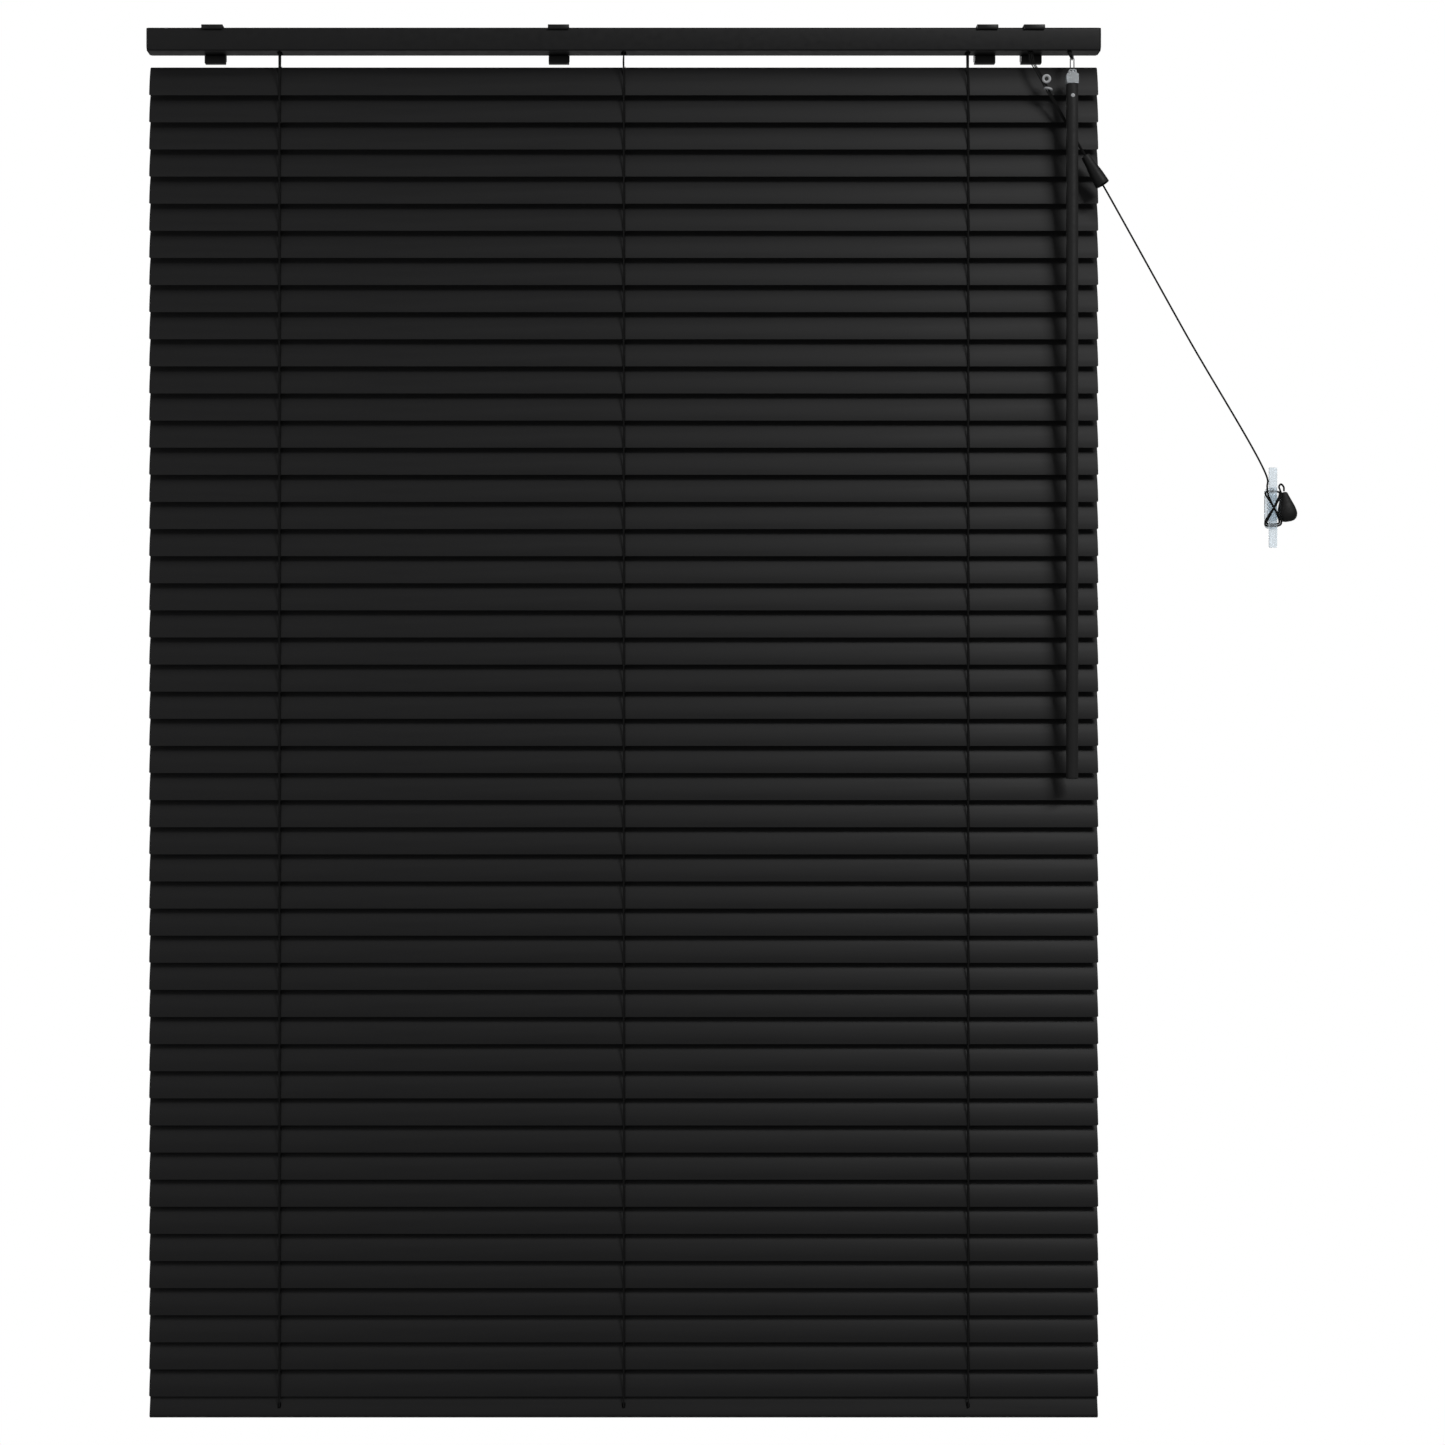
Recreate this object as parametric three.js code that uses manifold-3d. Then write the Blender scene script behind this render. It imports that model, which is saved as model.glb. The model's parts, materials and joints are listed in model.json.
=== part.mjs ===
// A wall-hung aluminium venetian blind with a tilt wand, a pull cord and a wall cleat.
// Millimetres. X runs to the right along the blind, Y into the wall, Z up.
// The origin is on the wall, level with the top of the headrail, on the blind's centre line.
import * as THREE from 'three';
import * as BufferGeometryUtils from 'three/addons/utils/BufferGeometryUtils.js';
import Module from 'manifold-3d';

const wasm = await Module();
wasm.setup();

// ---- driving dimensions ----
const BLIND_WIDTH = 900;
const RAIL_DEPTH = 25;
const RAIL_HEIGHT = 22;
const RAIL_BACK_Y = -6;
const RAIL_SHEET = 0.8;
const AXIS_Y = RAIL_BACK_Y - RAIL_DEPTH / 2;

const SLAT_COUNT = 49;
const SLAT_PITCH = 25.62;
const SLAT_LENGTH = 897;
const SLAT_WIDTH = 29.5;
const SLAT_SHEET = 0.4;
const SLAT_CROWN = 1.6;
const FIRST_SLAT_Z = -48.7;
const CLOSED_ANGLE = THREE.MathUtils.degToRad(72);

const BOTTOM_RAIL_Z = -1302;
const BOTTOM_RAIL_WIDTH = 22;
const BOTTOM_RAIL_THICK = 7.5;
const BOTTOM_RAIL_LENGTH = 896;
const BOTTOM_RAIL_SHEET = 1;

const LADDER_X = [-325.5, 0, 325.5];
const LADDER_CORD = 1;
const LADDER_REACH_Y = 5.6;

const SHAFT_Z = -11;
const SHAFT_ACROSS = 6;
const SHAFT_ROOM = 3.9;
const DRUM_RADIUS = 8.5;
const DRUM_LENGTH = 13;

const WAND_X = 421;
const WAND_Y = -42.5;
const WAND_RADIUS = 5.65;
const WAND_BOTTOM_Z = -708.5;
const CAP_TOP_Z = -43;
const CAP_BOTTOM_Z = -56;
const STEM_SLOPE = THREE.MathUtils.degToRad(25);
const STEM_RADIUS = 1.9;
const EYE_RADIUS = 2.2;
const EYE_WIRE = 0.7;
const WORM_DISTANCE = 8;
const WORM_RADIUS = 2.1;
const WHEEL_TEETH = 10;
const WHEEL_RADIUS = 5.6;

const BRACKET_X = [-388, -61.5, 343, 387];
const BRACKET_WIDTH = 20;
const BRACKET_TOP_Z = 2.4;
const BRACKET_FRONT_Y = -33.2;
const BRACKET_BOTTOM_Z = -29.6;

const CORD_DIAMETER = 1.8;
const LOCK_X = 384;
const CONDENSER_LENGTH = 32;

const CLEAT_X = 615.7;
const CLEAT_Z = -451.7;
const CLEAT_LENGTH = 76;
const CLEAT_WIDTH = 7.7;
const CLEAT_FRONT_Y = -15;
const CLEAT_HORN_THICK = 4;

// ---- materials ----
function paint(color, roughness, metalness) {
  return new THREE.MeshStandardMaterial({ color, roughness, metalness });
}
const blackPaint = paint(0x1f1f20, 0.45, 0.1);
const blackPlastic = paint(0x1b1b1c, 0.4, 0);
const blackCord = paint(0x141414, 0.9, 0);
const clearPlastic = paint(0xd9e6f2, 0.2, 0);
const plainSteel = paint(0x9a9c9f, 0.3, 0.9);

// ---- helpers ----
const ALONG_X = new THREE.Matrix4().makeBasis(
  new THREE.Vector3(0, 1, 0),
  new THREE.Vector3(0, 0, 1),
  new THREE.Vector3(1, 0, 0),
);

// An outline in (y, z), extruded along X and centred on x = 0.
function extrudeAlongX(outline, length) {
  const geometry = new THREE.ExtrudeGeometry(new THREE.Shape(outline), {
    depth: length,
    steps: 1,
    bevelEnabled: false,
  });
  geometry.translate(0, 0, -length / 2);
  return geometry.applyMatrix4(ALONG_X);
}

function points(pairs) {
  return pairs.map(([y, z]) => new THREE.Vector2(y, z));
}

function box(center, size) {
  const geometry = new THREE.BoxGeometry(size[0], size[1], size[2]);
  return geometry.translate(center[0], center[1], center[2]);
}

// A cylinder between two points.
function rod(from, to, radius, sides) {
  const a = new THREE.Vector3(...from);
  const b = new THREE.Vector3(...to);
  const geometry = new THREE.CylinderGeometry(radius, radius, a.distanceTo(b), sides);
  const turn = new THREE.Quaternion().setFromUnitVectors(
    new THREE.Vector3(0, 1, 0),
    b.clone().sub(a).normalize(),
  );
  geometry.applyQuaternion(turn);
  const middle = a.add(b).multiplyScalar(0.5);
  return geometry.translate(middle.x, middle.y, middle.z);
}

// A round cord or wire along a smooth curve through the given points.
function tube(route, radius, sides, steps) {
  const stops = route.map((stop) => new THREE.Vector3(...stop));
  const curve = new THREE.CatmullRomCurve3(stops, false, 'centripetal');
  const section = new THREE.Shape();
  for (let i = 0; i < sides; i += 1) {
    const angle = (2 * Math.PI * i) / sides;
    const x = radius * Math.cos(angle);
    const y = radius * Math.sin(angle);
    if (i === 0) section.moveTo(x, y);
    else section.lineTo(x, y);
  }
  section.closePath();
  return new THREE.ExtrudeGeometry(section, { steps, extrudePath: curve, bevelEnabled: false });
}

function toSolid(geometry) {
  const plain = geometry.clone();
  for (const name of Object.keys(plain.attributes)) {
    if (name !== 'position') plain.deleteAttribute(name);
  }
  const merged = BufferGeometryUtils.mergeVertices(plain, 1e-4);
  return new wasm.Manifold(new wasm.Mesh({
    numProp: 3,
    vertProperties: new Float32Array(merged.attributes.position.array),
    triVerts: new Uint32Array(merged.index.array),
  }));
}

function toGeometry(solid) {
  const mesh = solid.getMesh();
  const geometry = new THREE.BufferGeometry();
  geometry.setAttribute('position', new THREE.BufferAttribute(new Float32Array(mesh.vertProperties), 3));
  geometry.setIndex(new THREE.BufferAttribute(new Uint32Array(mesh.triVerts), 1));
  const flat = geometry.toNonIndexed();
  flat.computeVertexNormals();
  return flat;
}

function join(first, ...others) {
  return others.reduce((solid, geometry) => solid.add(toSolid(geometry)), first);
}

function cut(first, ...others) {
  return others.reduce((solid, geometry) => solid.subtract(toSolid(geometry)), first);
}

const blind = new THREE.Group();

function addPart(name, geometry, material, position = [0, 0, 0]) {
  const mesh = new THREE.Mesh(geometry, material);
  mesh.name = name;
  mesh.position.set(...position);
  blind.add(mesh);
  return mesh;
}

// ---- headrail: steel channel with end caps, brackets, tilter housing, cord lock and cradles ----
function channelOutline() {
  const front = AXIS_Y - RAIL_DEPTH / 2;
  const back = AXIS_Y + RAIL_DEPTH / 2;
  const lip = 3;
  const s = RAIL_SHEET;
  return points([
    [front, 0], [front, -RAIL_HEIGHT], [back, -RAIL_HEIGHT], [back, 0],
    [back - lip, 0], [back - lip, -s], [back - s, -s], [back - s, s - RAIL_HEIGHT],
    [front + s, s - RAIL_HEIGHT], [front + s, -s], [front + lip, -s], [front + lip, 0],
  ]);
}

function endCapOutline() {
  const front = AXIS_Y - RAIL_DEPTH / 2;
  const back = AXIS_Y + RAIL_DEPTH / 2;
  const bevel = 2.5;
  return points([
    [front, 0], [front, bevel - RAIL_HEIGHT], [front + bevel, -RAIL_HEIGHT],
    [back - bevel, -RAIL_HEIGHT], [back, bevel - RAIL_HEIGHT], [back, 0],
  ]);
}

// Side view of a bracket: rear web on the wall, top plate with a front hook, rear foot.
function bracketOutline() {
  const web = RAIL_BACK_Y - 0.2;
  const plate = 1.5;
  return points([
    [0, BRACKET_TOP_Z], [BRACKET_FRONT_Y, BRACKET_TOP_Z], [BRACKET_FRONT_Y, -2.2],
    [BRACKET_FRONT_Y + 1.2, -2.2], [BRACKET_FRONT_Y + 1.2, BRACKET_TOP_Z - plate],
    [web, BRACKET_TOP_Z - plate], [web, -RAIL_HEIGHT - 0.6], [web - 5, -RAIL_HEIGHT - 0.6],
    [web - 5, BRACKET_BOTTOM_Z], [0, BRACKET_BOTTOM_Z],
  ]);
}

function screwHoles(x) {
  const wallHole = rod([x, 1, -12], [x, RAIL_BACK_Y - 0.1, -12], 2.2, 12);
  const ceilingHole = rod([x, AXIS_Y, BRACKET_TOP_Z + 1], [x, AXIS_Y, 0.1], 2.2, 12);
  return [wallHole, ceilingHole];
}

// A round room around the tilt shaft, centred on x.
function roomOnShaft(x, length, radius) {
  return rod([x - length / 2, AXIS_Y, SHAFT_Z], [x + length / 2, AXIS_Y, SHAFT_Z], radius, 20);
}

// A cradle carries the tilt shaft's drum and lets the ladder cords down through the floor.
function cradle(x) {
  const floor = RAIL_SHEET - RAIL_HEIGHT;
  const block = box([x, AXIS_Y, floor + 6.4], [20, 20, 13]);
  const drumRoom = roomOnShaft(x, DRUM_LENGTH + 2, DRUM_RADIUS + 0.8);
  const shaftRoom = roomOnShaft(x, 22, SHAFT_ROOM);
  const ladderRoom = box([x, AXIS_Y, floor + 3], [5, 17, 12]);
  return cut(toSolid(block), drumRoom, shaftRoom, ladderRoom);
}

// The worm's axis runs forwards and down, below the shaft, and leaves at the front lower edge.
const stemDirection = new THREE.Vector3(0, -Math.cos(STEM_SLOPE), -Math.sin(STEM_SLOPE));
const wormCenter = new THREE.Vector3(
  WAND_X,
  AXIS_Y + WORM_DISTANCE * Math.sin(STEM_SLOPE),
  SHAFT_Z - WORM_DISTANCE * Math.cos(STEM_SLOPE),
);
const eyeZ = wormCenter.z + (WAND_Y - wormCenter.y) * Math.tan(STEM_SLOPE);
const eyeCenter = new THREE.Vector3(WAND_X, WAND_Y, eyeZ);

function alongStem(distance) {
  return wormCenter.clone().addScaledVector(stemDirection, distance).toArray();
}

function tilterHousing() {
  const block = box([WAND_X, AXIS_Y, -11.2], [18, 22.5, 20.2]);
  const wheelRoom = roomOnShaft(WAND_X, 10, WHEEL_RADIUS + 0.6);
  const shaftRoom = roomOnShaft(WAND_X, 20, SHAFT_ROOM);
  return cut(toSolid(block), wheelRoom, shaftRoom);
}

function cordLock() {
  const block = box([LOCK_X, AXIS_Y - 1, -12.4], [22, 20, 18]);
  const shaftRoom = roomOnShaft(LOCK_X, 24, SHAFT_ROOM);
  const cordRoom = box([LOCK_X, AXIS_Y - 7.5, -12.4], [5, 4, 24]);
  return cut(toSolid(block), shaftRoom, cordRoom);
}

function headrail() {
  const capThick = 3;
  let solid = toSolid(extrudeAlongX(channelOutline(), BLIND_WIDTH - 2));
  for (const side of [-1, 1]) {
    const cap = extrudeAlongX(endCapOutline(), capThick);
    solid = join(solid, cap.translate((side * (BLIND_WIDTH - capThick)) / 2, 0, 0));
  }
  for (const x of LADDER_X) {
    solid = cut(solid, box([x, AXIS_Y, -RAIL_HEIGHT], [5, 17, 4]));
    solid = solid.add(cradle(x));
  }
  solid = solid.add(tilterHousing()).add(cordLock());
  solid = cut(solid, box([LOCK_X, AXIS_Y - 7.5, -RAIL_HEIGHT], [5, 4, 4]));
  for (const x of BRACKET_X) {
    const bracket = extrudeAlongX(bracketOutline(), BRACKET_WIDTH).translate(x, 0, 0);
    solid = solid.add(cut(toSolid(bracket), ...screwHoles(x)));
  }
  const wormRoom = rod(alongStem(-8), alongStem(8), WORM_RADIUS + 0.4, 16);
  const stemRoom = rod(alongStem(7), alongStem(24), STEM_RADIUS + 0.4, 16);
  return toGeometry(cut(solid, wormRoom, stemRoom));
}
addPart('headrail', headrail(), blackPaint);

// ---- tilt shaft: six-sided rod with three drums and the worm wheel ----
function wheelOutline() {
  const corners = [];
  for (let i = 0; i < WHEEL_TEETH; i += 1) {
    for (const [share, radius] of [[0.1, 4.4], [0.32, WHEEL_RADIUS], [0.68, WHEEL_RADIUS], [0.9, 4.4]]) {
      const angle = (2 * Math.PI * (i + share)) / WHEEL_TEETH;
      corners.push([radius * Math.cos(angle), radius * Math.sin(angle)]);
    }
  }
  return points(corners);
}

function tiltShaft() {
  let solid = toSolid(rod([-440, 0, 0], [434, 0, 0], SHAFT_ACROSS / 2, 6));
  for (const x of LADDER_X) {
    const half = DRUM_LENGTH / 2;
    solid = join(solid, rod([x - half, 0, 0], [x + half, 0, 0], DRUM_RADIUS, 16));
  }
  const wheel = extrudeAlongX(wheelOutline(), 8).translate(WAND_X, 0, 0);
  return toGeometry(join(solid, wheel));
}
addPart('tilt_shaft', tiltShaft(), plainSteel, [0, AXIS_Y, SHAFT_Z]);

// ---- worm with its stem, ending in an eye for the wand's link ----
function tiltWorm() {
  const stemEnd = eyeCenter.distanceTo(wormCenter) - EYE_RADIUS;
  const ring = new THREE.TorusGeometry(EYE_RADIUS, EYE_WIRE, 8, 16).applyMatrix4(ALONG_X);
  ring.translate(eyeCenter.x, eyeCenter.y, eyeCenter.z);
  const worm = toSolid(rod(alongStem(-7), alongStem(7), WORM_RADIUS, 12));
  return toGeometry(join(worm, rod(alongStem(6), alongStem(stemEnd), STEM_RADIUS, 12), ring));
}
addPart('tilt_worm', tiltWorm(), blackPlastic);

// ---- wire link and wand ----
// The link's bow hangs just below the eye, clear of the ball of space that the turning eye sweeps.
function wandLink() {
  const half = 1.7;
  const low = CAP_TOP_Z + 0.4;
  const top = eyeZ - EYE_RADIUS - EYE_WIRE - 1;
  return tube(
    [[-half, 0, low], [-half, 0, top - 3.5], [-half, 0, top - 1.5], [-half * 0.6, 0, top - 0.3], [0, 0, top],
      [half * 0.6, 0, top - 0.3], [half, 0, top - 1.5], [half, 0, top - 3.5], [half, 0, low]],
    0.45,
    8,
    24,
  );
}
addPart('wand_link', wandLink(), plainSteel, [WAND_X, WAND_Y, 0]);

function wand() {
  const profile = [
    [0, WAND_BOTTOM_Z], [WAND_RADIUS - 0.8, WAND_BOTTOM_Z], [WAND_RADIUS, WAND_BOTTOM_Z + 0.8],
    [WAND_RADIUS, CAP_BOTTOM_Z], [WAND_RADIUS - 0.15, CAP_BOTTOM_Z + 0.3],
    [WAND_RADIUS - 0.1, CAP_TOP_Z - 4], [3.8, CAP_TOP_Z - 0.5], [3.3, CAP_TOP_Z], [0, CAP_TOP_Z],
  ];
  const geometry = new THREE.LatheGeometry(points(profile), 16);
  return geometry.rotateX(Math.PI / 2);
}
addPart('wand', wand(), blackPlastic, [WAND_X, WAND_Y, 0]);

// ---- slats ----
// The section is a shallow arch across the slat's width, convex upwards when the slat lies flat.
function slatOutline() {
  const half = SLAT_WIDTH / 2;
  const stations = [-1, -0.5, 0, 0.5, 1];
  const arch = (share) => SLAT_CROWN * (1 - share * share);
  const upper = stations.map((share) => [share * half, arch(share) + SLAT_SHEET / 2]);
  const lower = stations.map((share) => [share * half, arch(share) - SLAT_SHEET / 2]);
  return points([...lower, ...upper.reverse()]);
}
const slatGeometry = extrudeAlongX(slatOutline(), SLAT_LENGTH);

for (let i = 0; i < SLAT_COUNT; i += 1) {
  const name = `slat_${String(i + 1).padStart(2, '0')}`;
  const slat = addPart(name, slatGeometry, blackPaint, [0, AXIS_Y, FIRST_SLAT_Z - i * SLAT_PITCH]);
  slat.rotation.x = CLOSED_ANGLE;
}

// ---- bottom rail: a rolled section with a seam along its underside ----
function bottomRailOutline() {
  const w = BOTTOM_RAIL_WIDTH / 2;
  const t = BOTTOM_RAIL_THICK / 2;
  const s = BOTTOM_RAIL_SHEET;
  const corner = 1.8;
  const seam = 2.5;
  return points([
    [-seam, -t], [-w + corner, -t], [-w, -t + corner], [-w, t - corner], [-w + corner, t],
    [w - corner, t], [w, t - corner], [w, -t + corner], [w - corner, -t], [seam, -t],
    [seam, -t + s], [w - corner, -t + s], [w - s, -t + corner], [w - s, t - corner], [w - corner, t - s],
    [-w + corner, t - s], [-w + s, t - corner], [-w + s, -t + corner], [-w + corner, -t + s],
    [-seam, -t + s],
  ]);
}
const bottomRail = addPart(
  'bottom_rail',
  extrudeAlongX(bottomRailOutline(), BOTTOM_RAIL_LENGTH),
  blackPaint,
  [0, AXIS_Y, BOTTOM_RAIL_Z],
);
bottomRail.rotation.x = CLOSED_ANGLE;

// ---- the middle ladder's two upright cords, one in front of the slats and one behind ----
const slatRise = (SLAT_WIDTH / 2) * Math.sin(CLOSED_ANGLE);
const lastSlatZ = FIRST_SLAT_Z - (SLAT_COUNT - 1) * SLAT_PITCH;

function ladderCord(top, bottom) {
  return rod([0, 0, top], [0, 0, bottom], LADDER_CORD / 2, 8);
}
addPart(
  'ladder_front',
  ladderCord(FIRST_SLAT_Z - slatRise, lastSlatZ - slatRise),
  blackCord,
  [0, AXIS_Y - LADDER_REACH_Y, 0],
);
addPart(
  'ladder_back',
  ladderCord(FIRST_SLAT_Z + slatRise, lastSlatZ + slatRise),
  blackCord,
  [0, AXIS_Y + LADDER_REACH_Y, 0],
);

// ---- wall cleat ----
function cleat() {
  const half = CLEAT_WIDTH / 2;
  const backOfHorn = CLEAT_FRONT_Y + CLEAT_HORN_THICK;
  const base = box([0, -2.5, 0], [11.6, 5, 39]);
  const post = box([0, (backOfHorn - 5) / 2, 0], [CLEAT_WIDTH, -backOfHorn - 5 + 1, 26]);
  const bar = extrudeAlongX(points([
    [CLEAT_FRONT_Y, -CLEAT_LENGTH / 2 + 2], [CLEAT_FRONT_Y + 1, -CLEAT_LENGTH / 2],
    [backOfHorn - 0.5, -CLEAT_LENGTH / 2], [backOfHorn, -CLEAT_LENGTH / 2 + 2],
    [backOfHorn, CLEAT_LENGTH / 2 - 2], [backOfHorn - 0.5, CLEAT_LENGTH / 2],
    [CLEAT_FRONT_Y + 1, CLEAT_LENGTH / 2], [CLEAT_FRONT_Y, CLEAT_LENGTH / 2 - 2],
  ]), 2 * half);
  return toGeometry(join(toSolid(base), post, bar));
}
addPart('cleat', cleat(), clearPlastic, [CLEAT_X, 0, CLEAT_Z]);

// ---- pull cord: from the cord lock, through its condenser, to the cleat ----
const CORD_START = [LOCK_X, AXIS_Y - 7.5, -RAIL_HEIGHT - 0.6];
const UPPER_ROUTE = [
  CORD_START, [385.5, -29.5, -33], [389.5, -34.7, -42], [404, -35, -69], [421, -34.9, -99],
];
const CONDENSER_TOP = [434, -37.6, -122.5];
const CONDENSER_BOTTOM = [450, -40.4, -150.2];

// Offsets from the cleat's centre line, with y measured from the wall.
const CLEAT_WRAPS = [
  [-5.4, -13.8, 27], [-5.9, -14.8, 20], [-5.2, -16, 12], [-2.6, -16.4, 5.5], [0, -16.4, 0],
  [2.6, -16.4, -5.5], [5.2, -15.2, -11.5], [5.9, -12.2, -14.6], [3.4, -9.5, -15.4], [0, -9.3, -15.2],
  [-3.4, -9.5, -15.4], [-5.9, -12.4, -14.6], [-5.4, -16.4, -11], [-2.7, -18, -5.5], [0, -18.1, 0],
  [2.7, -17.9, 5.5], [5.4, -15.8, 11.2], [5.9, -12.3, 14.6], [3.4, -9.5, 15.4], [0, -9.3, 15.2],
  [-3.4, -9.5, 15.6], [-6.6, -12.2, 14.6], [-7.3, -15.8, 11.6], [-4, -19.1, 5.4], [-0.4, -19.8, -0.6],
  [3.4, -18.7, -6.4], [7, -16.2, -11.6], [7.5, -12.2, -15.8], [3.8, -9.1, -17.4], [0, -8.9, -17.1],
  [-3.8, -9.1, -17.4], [-7.4, -12.4, -15.8], [-7, -17.2, -11], [-3.6, -20.7, -5], [0.2, -21.5, 0.8],
  [3.8, -19.9, 6.6], [7.2, -15.8, 12.6], [6.6, -12.8, 17], [6, -11.6, 20], [8, -10.8, 22.4],
  [10.7, -10.3, 19.8], [11, -10, 15.6],
];

function condenser() {
  const profile = [
    [0, 0], [3.6, 0], [4.4, -1], [4.8, -8], [6.4, -18], [7, -CONDENSER_LENGTH + 1.2],
    [6.4, -CONDENSER_LENGTH], [0, -CONDENSER_LENGTH],
  ];
  const geometry = new THREE.LatheGeometry(points(profile.reverse()), 16);
  const axis = new THREE.Vector3(...CONDENSER_TOP).sub(new THREE.Vector3(...CONDENSER_BOTTOM)).normalize();
  geometry.applyQuaternion(new THREE.Quaternion().setFromUnitVectors(new THREE.Vector3(0, 1, 0), axis));
  return geometry.translate(...CONDENSER_TOP);
}

function pullCord() {
  const radius = CORD_DIAMETER / 2;
  const wraps = CLEAT_WRAPS.map(([x, y, z]) => [CLEAT_X + x, y, CLEAT_Z + z]);
  const upper = tube([...UPPER_ROUTE, CONDENSER_TOP], radius, 8, 16);
  const lower = tube([CONDENSER_BOTTOM, [530, -27.5, -288], wraps[0]], radius, 8, 6);
  const wound = tube(wraps, radius, 8, 76);
  return toGeometry(join(toSolid(condenser()), upper, lower, wound));
}
addPart('pull_cord', pullCord(), blackCord);

// ---- tassel: a flattened pear on the cord's end ----
function tassel() {
  const profile = [
    [0, 0], [2.6, -0.4], [4.2, -4], [6.9, -11], [9.3, -19], [8.8, -24], [5.6, -27.6], [0, -28.4],
  ];
  const geometry = new THREE.LatheGeometry(points(profile.reverse()), 16);
  geometry.rotateX(Math.PI / 2);
  return geometry.scale(1, 0.62, 1);
}
const tasselMesh = addPart('tassel', tassel(), blackPlastic, [CLEAT_X + 11, -10, CLEAT_Z + 14.9]);
tasselMesh.rotation.y = THREE.MathUtils.degToRad(-9);

export default blind;
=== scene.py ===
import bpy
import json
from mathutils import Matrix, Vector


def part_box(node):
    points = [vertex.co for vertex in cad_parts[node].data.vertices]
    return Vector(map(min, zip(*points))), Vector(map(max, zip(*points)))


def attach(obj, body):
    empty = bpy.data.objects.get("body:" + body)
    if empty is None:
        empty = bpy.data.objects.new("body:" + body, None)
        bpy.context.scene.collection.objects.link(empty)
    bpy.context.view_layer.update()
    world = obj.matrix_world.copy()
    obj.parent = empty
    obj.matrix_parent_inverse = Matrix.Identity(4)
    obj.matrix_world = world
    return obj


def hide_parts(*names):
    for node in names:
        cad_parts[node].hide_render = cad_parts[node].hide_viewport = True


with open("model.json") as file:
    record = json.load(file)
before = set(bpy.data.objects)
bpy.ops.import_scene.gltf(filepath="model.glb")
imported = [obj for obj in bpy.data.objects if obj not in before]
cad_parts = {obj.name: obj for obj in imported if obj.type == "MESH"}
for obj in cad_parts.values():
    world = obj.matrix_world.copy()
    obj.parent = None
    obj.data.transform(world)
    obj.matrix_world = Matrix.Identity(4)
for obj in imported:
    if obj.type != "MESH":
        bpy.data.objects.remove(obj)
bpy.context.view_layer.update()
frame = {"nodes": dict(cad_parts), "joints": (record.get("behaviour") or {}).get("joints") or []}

import json
import math
import bmesh
import bpy
from mathutils import Matrix, Vector

# Metres throughout. X runs right along the blind, Y into the wall, Z up.
MM = 0.001
JOINTS = {joint["name"]: joint for joint in frame["joints"]}


def pivot(joint):
    """The point that a joint turns about, at rest."""
    return Vector(JOINTS[joint]["pos_m"])


SHAFT = pivot("tilt")
AXIS_Y = SHAFT.y
SLATS = sorted(node for node in frame["nodes"] if node.startswith("slat_"))
SLAT_CENTRES = [pivot(f"{slat}_tilt") for slat in SLATS]
CLOSED = math.radians(72)

RAIL_LOW, RAIL_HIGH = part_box("headrail")
RAIL_HALF = RAIL_HIGH.x
RAIL_HEIGHT = 22 * MM
RAIL_DEPTH = 25 * MM
RAIL_FRONT = AXIS_Y - RAIL_DEPTH / 2
RAIL_BACK = AXIS_Y + RAIL_DEPTH / 2
RAIL_SHEET = 0.7 * MM

SLAT_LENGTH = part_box(SLATS[0])[1].x * 2
SLAT_WIDTH = 29.5 * MM
SLAT_SHEET = 0.3 * MM
SLAT_CROWN = 1.6 * MM
SLAT_CORNER = 1.2 * MM

LADDER_X = [-325.5 * MM, 0.0, 325.5 * MM]
LADDER_FRONT_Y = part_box("ladder_front")[0].y + 0.5 * MM
LADDER_BACK_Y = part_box("ladder_back")[0].y + 0.5 * MM
LADDER_RADIUS = 0.7 * MM
LADDER_TRAVEL = 29.7 * MM  # how far an upright moves from one closed position to the other
LADDER_BACK_END = 17 * MM  # above the rail's axis at rest; a full tilt brings it 2 mm below the rail
LIFT_RADIUS = 0.65 * MM
LIFT_SLOT_HALF = 0.68 * MM
RUNG_RADIUS = 0.32 * MM

BOTTOM_AXIS = pivot("bottom_rail_tilt")
BOTTOM_WIDTH = 22 * MM
BOTTOM_THICK = 7.5 * MM
BOTTOM_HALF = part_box("bottom_rail")[1].x

BRACKET_X = [-388 * MM, -61.5 * MM, 343 * MM, 387 * MM]
BRACKET_HALF = 10 * MM
LOCK_X = 384 * MM

WAND = pivot("wand_spin")
WAND_RADIUS = 5.65 * MM
WAND_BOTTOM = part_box("wand")[0].z
CAP_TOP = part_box("wand")[1].z
CAP_BOTTOM = CAP_TOP - 13 * MM
EYE = pivot("wand_swing")
WORM = pivot("worm_spin")
STEM = Vector(JOINTS["worm_spin"]["axis"])

CLEAT_LOW, CLEAT_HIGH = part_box("cleat")
CLEAT = Vector(((CLEAT_LOW.x + CLEAT_HIGH.x) / 2, 0, (CLEAT_LOW.z + CLEAT_HIGH.z) / 2))
TASSEL_TOP = pivot("tassel_swing")

CORD_RADIUS = 0.9 * MM
CONDENSER_TOP = Vector((434, -37.6, -122.5)) * MM
CONDENSER_BOTTOM = Vector((450, -40.4, -150.2)) * MM
LOCK_EXIT = Vector((384, -26, -22.6)) * MM

# Camera: level, on the blind's centre line, framed a little to the right of it.
CAMERA_DISTANCE = 2.94
CAMERA_HEIGHT = -0.6555
PHOTO_SIZE = 1445
PIXELS_PER_METRE = 1061
FRAME_CENTRE_OFFSET = 98.8


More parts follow.
